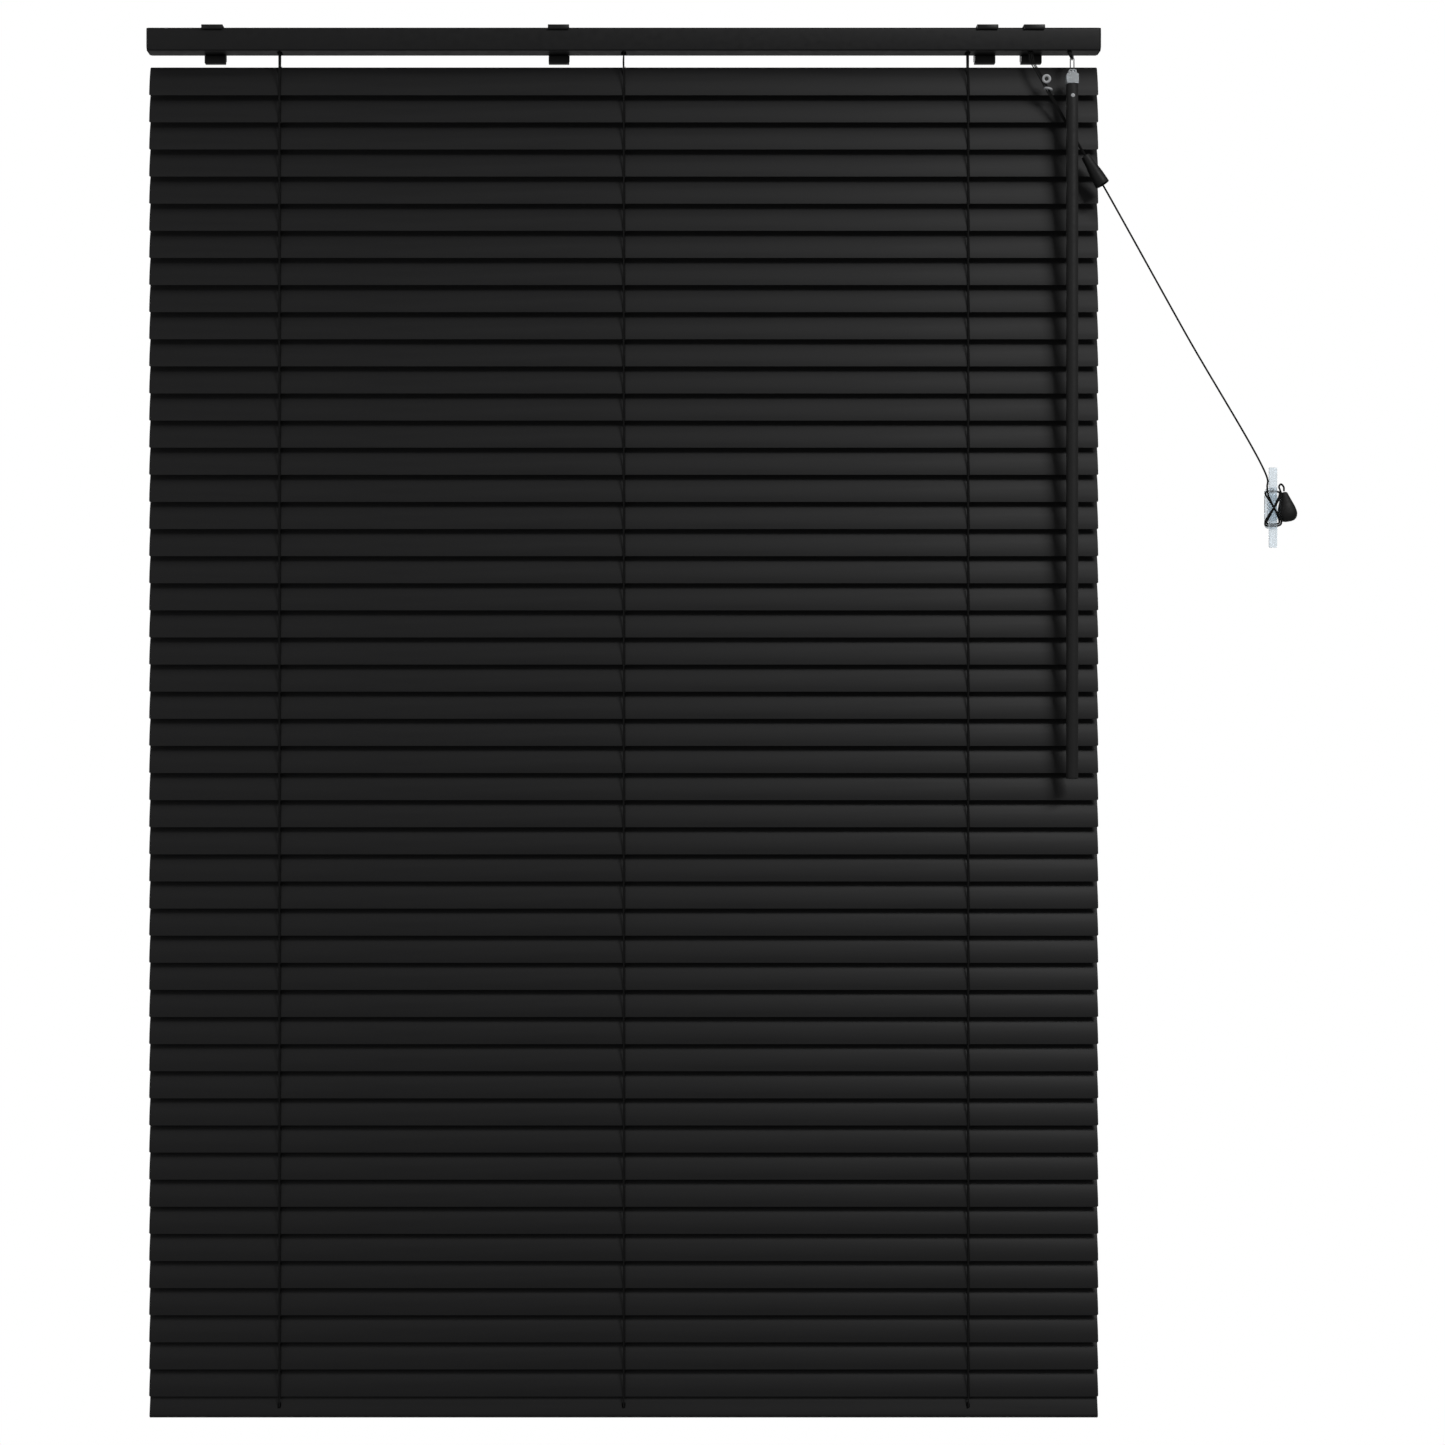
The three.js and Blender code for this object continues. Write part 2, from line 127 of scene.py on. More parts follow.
# ---------------------------------------------------------------- camera
def add_camera():
    data = bpy.data.cameras.new("camera")
    data.sensor_width = 36
    focal_pixels = PIXELS_PER_METRE * CAMERA_DISTANCE
    data.lens = data.sensor_width * focal_pixels / PHOTO_SIZE
    data.shift_x = FRAME_CENTRE_OFFSET / PHOTO_SIZE
    data.clip_end = 50
    camera = bpy.data.objects.new("camera", data)
    camera.location = (0, RAIL_FRONT - CAMERA_DISTANCE, CAMERA_HEIGHT)
    camera.rotation_euler = (math.pi / 2, 0, 0)
    bpy.context.collection.objects.link(camera)
    bpy.context.scene.camera = camera
    bpy.context.scene.view_settings.view_transform = "Standard"


add_camera()


# ---------------------------------------------------------------- materials
def new_material(name):
    material = bpy.data.materials.new(name)
    material.use_nodes = True
    tree = material.node_tree
    return material, tree, tree.nodes["Principled BSDF"]


def set_inputs(shader, **values):
    for name, value in values.items():
        shader.inputs[name.replace("_", " ")].default_value = value


def noise(tree, scale, detail=2.0, stretch=(1, 1, 1)):
    """Noise in the piece's own coordinates, in metres."""
    place = tree.nodes.new("ShaderNodeTexCoord")
    mapping = tree.nodes.new("ShaderNodeMapping")
    mapping.inputs["Scale"].default_value = stretch
    texture = tree.nodes.new("ShaderNodeTexNoise")
    texture.inputs["Scale"].default_value = scale
    texture.inputs["Detail"].default_value = detail
    tree.links.new(place.outputs["Object"], mapping.inputs["Vector"])
    tree.links.new(mapping.outputs["Vector"], texture.inputs["Vector"])
    return texture.outputs["Fac"]


def remap(tree, value, low, high):
    ramp = tree.nodes.new("ShaderNodeMapRange")
    ramp.inputs["From Min"].default_value = 0.3
    ramp.inputs["From Max"].default_value = 0.7
    ramp.inputs["To Min"].default_value = low
    ramp.inputs["To Max"].default_value = high
    tree.links.new(value, ramp.inputs["Value"])
    return ramp.outputs["Result"]


def mix_colours(tree, value, dark, light):
    mix = tree.nodes.new("ShaderNodeMix")
    mix.data_type = "RGBA"
    mix.inputs["A"].default_value = (*dark, 1)
    mix.inputs["B"].default_value = (*light, 1)
    tree.links.new(value, mix.inputs["Factor"])
    return mix.outputs["Result"]


def add_bump(tree, shader, height, strength, distance):
    bump = tree.nodes.new("ShaderNodeBump")
    bump.inputs["Strength"].default_value = strength
    bump.inputs["Distance"].default_value = distance
    tree.links.new(height, bump.inputs["Height"])
    tree.links.new(bump.outputs["Normal"], shader.inputs["Normal"])


def baked_enamel(name, dark, light, roughness, stretch=(1, 1, 1), specular=0.5):
    """Satin enamel: slight colour drift, rolled streaks or orange peel, uneven gloss."""
    material, tree, shader = new_material(name)
    set_inputs(shader, Specular_IOR_Level=specular)
    drift = noise(tree, 9, 3, stretch)
    tree.links.new(mix_colours(tree, drift, dark, light), shader.inputs["Base Color"])
    gloss = noise(tree, 160, 3, stretch)
    tree.links.new(remap(tree, gloss, roughness - 0.05, roughness + 0.05), shader.inputs["Roughness"])
    add_bump(tree, shader, noise(tree, 900, 2, stretch), 0.12, 0.0002)
    return material


def moulded_plastic(name, dark, light, roughness):
    material, tree, shader = new_material(name)
    tree.links.new(mix_colours(tree, noise(tree, 40), dark, light), shader.inputs["Base Color"])
    tree.links.new(remap(tree, noise(tree, 300), roughness - 0.06, roughness + 0.06),
                   shader.inputs["Roughness"])
    add_bump(tree, shader, noise(tree, 2500, 2), 0.15, 0.0001)
    return material


def clear_plastic(name, tint, transmission):
    """Slightly cloudy clear moulding, with a faint blue cast."""
    material, tree, shader = new_material(name)
    set_inputs(shader, IOR=1.49, Transmission_Weight=transmission)
    cloud = noise(tree, 120, 3)
    paler = tuple(0.98 * share for share in tint)
    tree.links.new(mix_colours(tree, cloud, paler, tint), shader.inputs["Base Color"])
    tree.links.new(remap(tree, cloud, 0.12, 0.3), shader.inputs["Roughness"])
    add_bump(tree, shader, noise(tree, 700, 2), 0.03, 0.0002)
    return material


def plated_steel(name, dark, light, roughness, stretch=(1, 1, 1)):
    material, tree, shader = new_material(name)
    set_inputs(shader, Metallic=1.0)
    tree.links.new(mix_colours(tree, noise(tree, 60, 3, stretch), dark, light), shader.inputs["Base Color"])
    tree.links.new(remap(tree, noise(tree, 400, 2, stretch), roughness - 0.08, roughness + 0.08),
                   shader.inputs["Roughness"])
    add_bump(tree, shader, noise(tree, 1500, 2, stretch), 0.1, 0.0001)
    return material


def braided_cord(name, dark, light):
    """Braid: two crossing sets of fine diagonal strands."""
    material, tree, shader = new_material(name)
    set_inputs(shader, Roughness=0.9)
    place = tree.nodes.new("ShaderNodeTexCoord")
    strands = []
    for turn in (math.radians(38), math.radians(-38)):
        mapping = tree.nodes.new("ShaderNodeMapping")
        mapping.inputs["Rotation"].default_value = (0, turn, turn)
        wave = tree.nodes.new("ShaderNodeTexWave")
        wave.inputs["Scale"].default_value = 420
        wave.inputs["Distortion"].default_value = 0.6
        tree.links.new(place.outputs["Object"], mapping.inputs["Vector"])
        tree.links.new(mapping.outputs["Vector"], wave.inputs["Vector"])
        strands.append(wave.outputs["Fac"])
    weave = tree.nodes.new("ShaderNodeMath")
    weave.operation = "MULTIPLY"
    tree.links.new(strands[0], weave.inputs[0])
    tree.links.new(strands[1], weave.inputs[1])
    tree.links.new(mix_colours(tree, weave.outputs[0], dark, light), shader.inputs["Base Color"])
    add_bump(tree, shader, weave.outputs[0], 0.25, 0.00015)
    return material


RAIL_PAINT = baked_enamel("rail_enamel", (0.008, 0.008, 0.0085), (0.011, 0.011, 0.0115), 0.42)
SLAT_PAINT = baked_enamel("slat_enamel", (0.008, 0.008, 0.0085), (0.0115, 0.0115, 0.012), 0.46, (0.04, 1, 1))
BLACK_PLASTIC = moulded_plastic("black_moulding", (0.007, 0.007, 0.007), (0.011, 0.011, 0.011), 0.56)
WAND_PLASTIC = moulded_plastic("wand_moulding", (0.019, 0.019, 0.019), (0.024, 0.024, 0.024), 0.62)
BLACK_CORD = braided_cord("black_braid", (0.003, 0.003, 0.003), (0.012, 0.012, 0.012))
CLEAR_PLASTIC = clear_plastic("clear_moulding", (0.88, 0.95, 1.0), 0.8)
MILKY_PLASTIC = clear_plastic("milky_moulding", (0.93, 0.97, 1.0), 0.4)
WHITE_PLASTIC = moulded_plastic("white_moulding", (0.72, 0.74, 0.76), (0.85, 0.86, 0.88), 0.35)
STEEL = plated_steel("zinc_plate", (0.42, 0.43, 0.45), (0.6, 0.61, 0.63), 0.3, (0.1, 1, 1))
WIRE_STEEL = plated_steel("dark_wire", (0.05, 0.05, 0.055), (0.09, 0.09, 0.095), 0.3, (1, 1, 0.2))
BLACK_STEEL = baked_enamel("bracket_enamel", (0.006, 0.006, 0.006), (0.01, 0.01, 0.01), 0.4)


# ---------------------------------------------------------------- mesh helpers
def piece(name, verts, faces, material, body, slot, smooth_angle=35):
    """A mesh piece with the given material, riding on a body when one is given; the slot argument is not
    used.
    """
    mesh = bpy.data.meshes.new(name)
    mesh.from_pydata([tuple(v) for v in verts], [], faces)
    finish_mesh(mesh, material, smooth_angle)
    obj = bpy.data.objects.new(name, mesh)
    bpy.context.collection.objects.link(obj)
    if body:
        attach(obj, body)
    return obj


def finish_mesh(mesh, material, smooth_angle=35):
    work = bmesh.new()
    work.from_mesh(mesh)
    bmesh.ops.remove_doubles(work, verts=work.verts, dist=1e-7)
    bmesh.ops.recalc_face_normals(work, faces=work.faces)
    work.to_mesh(mesh)
    work.free()
    for polygon in mesh.polygons:
        polygon.use_smooth = True
    mesh.set_sharp_from_angle(angle=math.radians(smooth_angle))
    if material and not mesh.materials:
        mesh.materials.append(material)


def rounded(corners, radius, steps=4):
    """An outline whose corners are arcs. radius is one value, or one for each corner."""
    outline = []
    count = len(corners)
    radii = radius if isinstance(radius, (list, tuple)) else [radius] * count
    for i, corner in enumerate(corners):
        here = Vector(corner)
        before = (Vector(corners[i - 1]) - here).normalized()
        after = (Vector(corners[(i + 1) % count]) - here).normalized()
        if radii[i] == 0:
            outline.append(here)
            continue
        half = before.angle(after) / 2
        reach = radii[i] / math.tan(half)
        centre = here + (before + after).normalized() * (radii[i] / math.sin(half))
        first = here + before * reach - centre
        last = here + after * reach - centre
        sweep = first.angle_signed(last)
        for step in range(steps + 1):
            turn = Matrix.Rotation(-sweep * step / steps, 2)
            outline.append(centre + turn @ first)
    return outline


def box_outline(low, high):
    return [(low[0], low[1]), (high[0], low[1]), (high[0], high[1]), (low[0], high[1])]


def prism(outline, low, high, to_world):
    """Verts and faces of an outline swept from low to high. to_world(u, v, w) places a point."""
    verts = [to_world(p[0], p[1], w) for w in (low, high) for p in outline]
    count = len(outline)
    faces = [tuple(reversed(range(count))), tuple(range(count, 2 * count))]
    for i in range(count):
        j = (i + 1) % count
        faces.append((i, j, count + j, count + i))
    return verts, faces


def along_x(outline, low, high):
    return prism(outline, low, high, lambda u, v, w: (w, u, v))


def along_y(outline, low, high):
    return prism(outline, low, high, lambda u, v, w: (u, w, v))


def along_z(outline, low, high):
    return prism(outline, low, high, lambda u, v, w: (u, v, w))


def merge(*shapes):
    verts, faces = [], []
    for more_verts, more_faces in shapes:
        start = len(verts)
        verts.extend(more_verts)
        faces.extend(tuple(start + i for i in face) for face in more_faces)
    return verts, faces


def soften(obj, width, segments=2, angle=40):
    """Rounds the sharp edges of a piece."""
    work = bmesh.new()
    work.from_mesh(obj.data)
    limit = math.radians(angle)
    edges = [e for e in work.edges if len(e.link_faces) == 2 and e.calc_face_angle(0) > limit]
    bmesh.ops.bevel(work, geom=edges, offset=width, segments=segments, profile=0.5,
                    affect="EDGES", clamp_overlap=True)
    work.to_mesh(obj.data)
    work.free()
    finish_mesh(obj.data, None, 30)
    return obj


def spin(profile, origin, axis, sides=32):
    """A solid of revolution: profile is (radius, distance along axis), from end to end."""
    origin = Vector(origin)
    turn = Vector((0, 0, 1)).rotation_difference(Vector(axis)).to_matrix()
    verts, faces, rings = [], [], []
    for radius, height in profile:
        ring = []
        if radius < 1e-9:
            verts.append(origin + turn @ Vector((0, 0, height)))
            ring = [len(verts) - 1] * sides
        else:
            for i in range(sides):
                angle = 2 * math.pi * i / sides
                local = Vector((radius * math.cos(angle), radius * math.sin(angle), height))
                verts.append(origin + turn @ local)
                ring.append(len(verts) - 1)
        rings.append(ring)
    for lower, upper in zip(rings, rings[1:]):
        for i in range(sides):
            j = (i + 1) % sides
            corners = [lower[i], lower[j], upper[j], upper[i]]
            face = tuple(dict.fromkeys(corners))
            if len(face) > 2:
                faces.append(face)
    for ring, flip in ((rings[0], True), (rings[-1], False)):
        if len(set(ring)) > 2:
            faces.append(tuple(reversed(ring)) if flip else tuple(ring))
    return verts, faces


def smooth_route(stops, spacing):
    """Points along a centripetal Catmull-Rom curve through the stops."""
    stops = [Vector(stop) for stop in stops]
    padded = [2 * stops[0] - stops[1], *stops, 2 * stops[-1] - stops[-2]]
    route = []
    for a, b, c, d in zip(padded, padded[1:], padded[2:], padded[3:]):
        times = [0.0]
        for first, second in ((a, b), (b, c), (c, d)):
            times.append(times[-1] + math.sqrt((second - first).length))
        steps = max(2, math.ceil((c - b).length / spacing))
        for step in range(steps):
            t = times[1] + (times[2] - times[1]) * step / steps
            route.append(catmull_rom((a, b, c, d), times, t))
    route.append(stops[-1])
    return route


def catmull_rom(stops, times, t):
    layer = list(stops)
    spans = [(0, 1), (1, 2), (2, 3), (0, 2), (1, 3), (1, 2)]
    for count in (3, 2, 1):
        following = []
        for i in range(count):
            start, end = spans.pop(0)
            share = (t - times[start]) / (times[end] - times[start])
            following.append(layer[i].lerp(layer[i + 1], share))
        layer = following
    return layer[0]


def tube(route, radius, sides=10):
    """A round cord or wire along a route, closed at both ends."""
    route = [Vector(p) for p in route]
    verts, faces = [], []
    normal = None
    for i, point in enumerate(route):
        ahead = route[min(i + 1, len(route) - 1)]
        behind = route[max(i - 1, 0)]
        tangent = (ahead - behind).normalized()
        if normal is None:
            normal = tangent.orthogonal().normalized()
        normal = (normal - tangent * normal.dot(tangent)).normalized()
        side = tangent.cross(normal)
        for k in range(sides):
            angle = 2 * math.pi * k / sides
            verts.append(point + (normal * math.cos(angle) + side * math.sin(angle)) * radius)
        if i:
            for k in range(sides):
                j = (k + 1) % sides
                low, high = (i - 1) * sides, i * sides
                faces.append((low + k, low + j, high + j, high + k))
    faces.append(tuple(reversed(range(sides))))
    faces.append(tuple(range(len(verts) - sides, len(verts))))
    return verts, faces


def cut_out(obj, shape):
    """Cuts a closed shape out of a piece."""
    mesh = bpy.data.meshes.new("cutter")
    mesh.from_pydata([tuple(v) for v in shape[0]], [], shape[1])
    finish_mesh(mesh, None)
    cutter = bpy.data.objects.new("cutter", mesh)
    bpy.context.collection.objects.link(cutter)
    cut = obj.modifiers.new("cut", "BOOLEAN")
    cut.operation = "DIFFERENCE"
    cut.solver = "EXACT"
    cut.object = cutter
    bpy.context.view_layer.update()
    evaluated = obj.evaluated_get(bpy.context.evaluated_depsgraph_get())
    result = bpy.data.meshes.new_from_object(evaluated)
    obj.modifiers.remove(cut)
    material = obj.data.materials[0]
    obj.data = result
    obj.data.materials.clear()
    finish_mesh(obj.data, material)
    bpy.data.objects.remove(cutter)


def slot_outline(centre, half_length, half_width, steps=6):
    """A long hole with round ends, lying along the second coordinate."""
    outline = []
    for end, start in ((1, 0), (-1, math.pi)):
        for step in range(steps + 1):
            angle = start + math.pi * step / steps
            outline.append((centre[0] + half_width * math.cos(angle),
                            centre[1] + end * (half_length - half_width) + half_width * math.sin(angle)))
    return outline


# ---------------------------------------------------------------- pull cord, cleat and tassel
# Offsets in millimetres from the cleat's centre line, with y measured from the wall.
CLEAT_WRAPS = [
    (-5.4, -13.8, 27), (-5.9, -14.8, 20), (-5.2, -16, 12), (-2.6, -16.4, 5.5), (0, -16.4, 0),
    (2.6, -16.4, -5.5), (5.2, -15.2, -11.5), (5.9, -12.2, -14.6), (3.4, -9.5, -15.4), (0, -9.3, -15.2),
    (-3.4, -9.5, -15.4), (-5.9, -12.4, -14.6), (-5.4, -16.4, -11), (-2.7, -18, -5.5), (0, -18.1, 0),
    (2.7, -17.9, 5.5), (5.4, -15.8, 11.2), (5.9, -12.3, 14.6), (3.4, -9.5, 15.4), (0, -9.3, 15.2),
    (-3.4, -9.5, 15.6), (-6.6, -12.2, 14.6), (-7.3, -15.8, 11.6), (-4, -19.1, 5.4), (-0.4, -19.8, -0.6),
    (3.4, -18.7, -6.4), (7, -16.2, -11.6), (7.5, -12.2, -15.8), (3.8, -9.1, -17.4), (0, -8.9, -17.1),
    (-3.8, -9.1, -17.4), (-7.4, -12.4, -15.8), (-7, -17.2, -11), (-3.6, -20.7, -5), (0.2, -21.5, 0.8),
    (3.8, -19.9, 6.6), (7.2, -15.8, 12.6), (6.6, -12.8, 17), (6, -11.6, 20), (8, -10.8, 22.4),
    (10.7, -10.3, 19.8), (11, -10, 15.6),
]
UPPER_STOPS = [(385.5, -29.5, -33), (389.5, -34.7, -42), (404, -35, -69), (421, -34.9, -99)]


def add_condenser():
    """Bell in which the lift cords are knotted to the pull cord."""
    axis = CONDENSER_BOTTOM - CONDENSER_TOP
    length = axis.length
    profile = [
        (0.0016, 0.004), (0.0016, 0.0004), (0.0024, 0), (0.0036, 0), (0.0042, 0.0006), (0.0044, 0.002),
        (0.0046, 0.006), (0.0049, 0.010), (0.0056, 0.0145), (0.0063, 0.020), (0.0067, 0.026),
        (0.0069, length - 0.0006), (0.0067, length - 0.0001), (0.0062, length), (0.0054, length - 0.0005),
        (0.0050, length - 0.004), (0.0035, length - 0.010), (0, length - 0.011),
    ]
    shape = spin([(0, 0.004), *profile], CONDENSER_TOP, axis, 40)
    return piece("condenser", *shape, BLACK_PLASTIC, "headrail", "black_plastic")


def add_cord_stop(name, centre, axis, outer, hole, thick):
    """A white ring threaded on a lift cord."""
    middle = (outer + hole) / 2
    wide = (outer - hole) / 2
    profile = []
    for step in range(13):
        angle = 2 * math.pi * step / 12
        profile.append((middle + wide * math.cos(angle), thick * math.sin(angle)))
    verts, faces = spin(profile, centre, axis, 32)
    faces = [face for face in faces if len(face) < 5]
    return piece(name, verts, faces, WHITE_PLASTIC, "headrail", "clear_plastic")


def add_tassel():
    profile = [
        (0, 0.1), (1.4, 0), (2.6, -0.4), (3.4, -1.4), (4.2, -4), (5.5, -7.4), (6.9, -11), (8.3, -15),
        (9.3, -19), (9.4, -21.6), (8.8, -24), (7.5, -26.2), (5.6, -27.6), (2.9, -28.3), (0, -28.4),
    ]
    verts, faces = spin([(r * MM, h * MM) for r, h in profile], (0, 0, 0), (0, 0, 1), 48)
    lean = Matrix.Rotation(math.radians(-9), 3, "Y")
    verts = [TASSEL_TOP + lean @ Vector((v.x, v.y * 0.6, v.z)) for v in verts]
    tassel = piece("tassel_pear", verts, faces, BLACK_PLASTIC, "tassel", "black_plastic", 60)
    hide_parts("tassel")
    return tassel


def add_cords():
    condenser = add_condenser()
    tassel = add_tassel()
    stops = [
        add_cord_stop("cord_stop_1", Vector((397.6, -37.9, -50.2)) * MM, (0.12, 1, 0.1),
                      4.3 * MM, 1.8 * MM, 1.1 * MM),
        add_cord_stop("cord_stop_2", Vector((399.6, -34.3, -59.2)) * MM, (0.22, 0.1, 1),
                      4.3 * MM, 1.8 * MM, 1.1 * MM),
    ]
    axis = (CONDENSER_BOTTOM - CONDENSER_TOP).normalized()
    for number, (dx, dy) in enumerate(((-1.7, 0.2), (0, -0.6), (1.7, 0.2)), 1):
        offset = Vector((dx, dy, 0)) * MM
        stops_mm = [Vector(stop) * MM for stop in UPPER_STOPS]
        shares = (1, 0.95, 0.75, 0.55)
        via = [stop + offset * share for stop, share in zip(stops_mm, shares)]
        end = CONDENSER_TOP + axis * 2.5 * MM + offset * 0.42
        route = smooth_route([LOCK_EXIT + offset, *via, end], 2 * MM)
        cord = piece(f"lift_cord_free_{number}", *tube(route, 0.55 * MM, 8), BLACK_CORD, "headrail",
                     "black_cord")
    wraps = [Vector((CLEAT.x, 0, CLEAT.z)) + Vector(stop) * MM for stop in CLEAT_WRAPS]
    start = CONDENSER_BOTTOM - axis * 8 * MM
    straight = [start, CONDENSER_BOTTOM + axis * 1 * MM, Vector((530, -27.5, -288)) * MM]
    route = smooth_route([*straight, *wraps], 1 * MM)
    cord = piece("pull_cord_braid", *tube(route, CORD_RADIUS, 10), BLACK_CORD, "headrail", "black_cord")
    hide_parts("pull_cord")


add_cords()


def add_cleat():
    """Clear two-horned cleat on a base with two screws."""
    half = 3.85 * MM
    front, back = CLEAT_LOW.y, CLEAT_LOW.y + 4 * MM
    reach = (CLEAT_HIGH.z - CLEAT_LOW.z) / 2
    bar = [(front + 0.6 * MM, -reach), (back - 0.4 * MM, -reach), (back + 0.2 * MM, -13 * MM),
           (back + 0.2 * MM, 13 * MM), (back - 0.4 * MM, reach), (front + 0.6 * MM, reach), (front, 12 * MM),
           (front, -12 * MM)]
    corner_radii = [1.5 * MM, 1.2 * MM, 4 * MM, 4 * MM, 1.2 * MM, 1.5 * MM, 9 * MM, 9 * MM]
    outline = [(u, v + CLEAT.z) for u, v in rounded(bar, corner_radii, 5)]
    horns = piece("cleat_horns", *along_x(outline, CLEAT.x - half, CLEAT.x + half), CLEAR_PLASTIC,
                  "headrail", "clear_plastic")
    soften(horns, 0.9 * MM, 3)
    post = rounded(box_outline((-half, -12.6 * MM), (half, 12.6 * MM)), 3 * MM, 6)
    post = [(u + CLEAT.x, v + CLEAT.z) for u, v in post]
    neck = piece("cleat_neck", *along_y(post, back + 0.1 * MM, -4.6 * MM), CLEAR_PLASTIC, "headrail",
                 "clear_plastic")
    foot = rounded(box_outline((-5.8 * MM, -19.5 * MM), (5.8 * MM, 19.5 * MM)), 4.5 * MM, 8)
    foot = [(u + CLEAT.x, v + CLEAT.z) for u, v in foot]
    base = piece("cleat_base", *along_y(foot, -4.7 * MM, 0), CLEAR_PLASTIC, "headrail", "clear_plastic")
    soften(base, 0.8 * MM, 3)
    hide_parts("cleat")
    for side in (-1, 1):
        centre = CLEAT + Vector((0, -4.7 * MM, side * 16.2 * MM))
        end = "upper" if side > 0 else "lower"
        add_screw_head(f"cleat_screw_{end}", centre, (0, -1, 0), 2.4 * MM, "headrail")
    return horns, neck


def add_screw_head(name, centre, axis, radius, body):
    """Pan head with a cross recess."""
    profile = [(0, -0.0004), (radius, -0.0004), (radius, 0.0003), (radius * 0.9, 0.0008),
               (radius * 0.62, 0.00125), (radius * 0.3, 0.0014), (0, 0.00145)]
    head = piece(name, *spin(profile, centre, axis, 28), STEEL, body, "plain_steel", 50)
    up = Vector(axis).normalized()
    side = up.orthogonal().normalized()
    across = up.cross(side)
    for first, second in ((side, across), (across, side)):
        corners = box_outline((-radius * 0.55, -radius * 0.11), (radius * 0.55, radius * 0.11))
        shape = prism(corners, 0.0006, 0.003,
                      lambda u, v, w: Vector(centre) + first * u + second * v + up * w)
        cut_out(head, shape)
    return head


add_cleat()


# ---------------------------------------------------------------- headrail and what it holds
def ladder_opening(x):
    outline = slot_outline((x, AXIS_Y), 8.4 * MM, 2.6 * MM)
    return along_z(outline, -RAIL_HEIGHT - 2 * MM, -RAIL_HEIGHT + 3 * MM)


def add_channel():
    """Roll-formed channel with a rounded nose and inward lips along its open top."""
    s = RAIL_SHEET
    lip = 3.2 * MM
    outer = [(RAIL_FRONT + lip, 0), (RAIL_FRONT, 0), (RAIL_FRONT, -RAIL_HEIGHT), (RAIL_BACK, -RAIL_HEIGHT),
             (RAIL_BACK, 0), (RAIL_BACK - lip, 0)]
    inner = [(RAIL_BACK - lip, -s), (RAIL_BACK - s, -s), (RAIL_BACK - s, s - RAIL_HEIGHT),
             (RAIL_FRONT + s, s - RAIL_HEIGHT), (RAIL_FRONT + s, -s), (RAIL_FRONT + lip, -s)]
    radii = [0, 3 * MM, 1.5 * MM, 1.5 * MM, 1.5 * MM, 0, 0, 1.5 * MM - s, 1.5 * MM - s, 1.5 * MM - s,
             3 * MM - s, 0]
    outline = rounded(outer + inner, radii, 6)
    end = RAIL_HALF - 1.5 * MM
    channel = piece("headrail_channel", *along_x(outline, -end, end), RAIL_PAINT, "headrail", "black_paint")
    for x in LADDER_X:
        cut_out(channel, ladder_opening(x))
    tilter_hole = tube([WORM + STEM * 8 * MM, WORM + STEM * 26 * MM], 2.7 * MM, 20)
    cut_out(channel, tilter_hole)
    cord_hole = along_z(slot_outline((LOCK_X, LOCK_EXIT.y), 3 * MM, 2.9 * MM), -RAIL_HEIGHT - 2 * MM,
                        -RAIL_HEIGHT + 3 * MM)
    cut_out(channel, cord_hole)
    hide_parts("headrail")


def add_end_caps():
    """Moulded caps whose lower corners are cut off, standing 0.3 mm proud of the channel."""
    for side, name in ((-1, "end_cap_left"), (1, "end_cap_right")):
        corners = [(RAIL_FRONT, -0.2 * MM), (RAIL_FRONT, 3.2 * MM - RAIL_HEIGHT),
                   (RAIL_FRONT + 3 * MM, -RAIL_HEIGHT), (RAIL_BACK - 3 * MM, -RAIL_HEIGHT),
                   (RAIL_BACK, 3.2 * MM - RAIL_HEIGHT), (RAIL_BACK, -0.2 * MM)]
        outline = rounded(corners, [2.6 * MM, 0.8 * MM, 0.8 * MM, 0.8 * MM, 0.8 * MM, 1.5 * MM], 4)
        inner, outer = RAIL_HALF - 1.6 * MM, RAIL_HALF
        low, high = sorted((side * inner, side * outer))
        cap = piece(name, *along_x(outline, low, high), BLACK_PLASTIC, "headrail", "black_plastic")
        soften(cap, 0.5 * MM, 3)


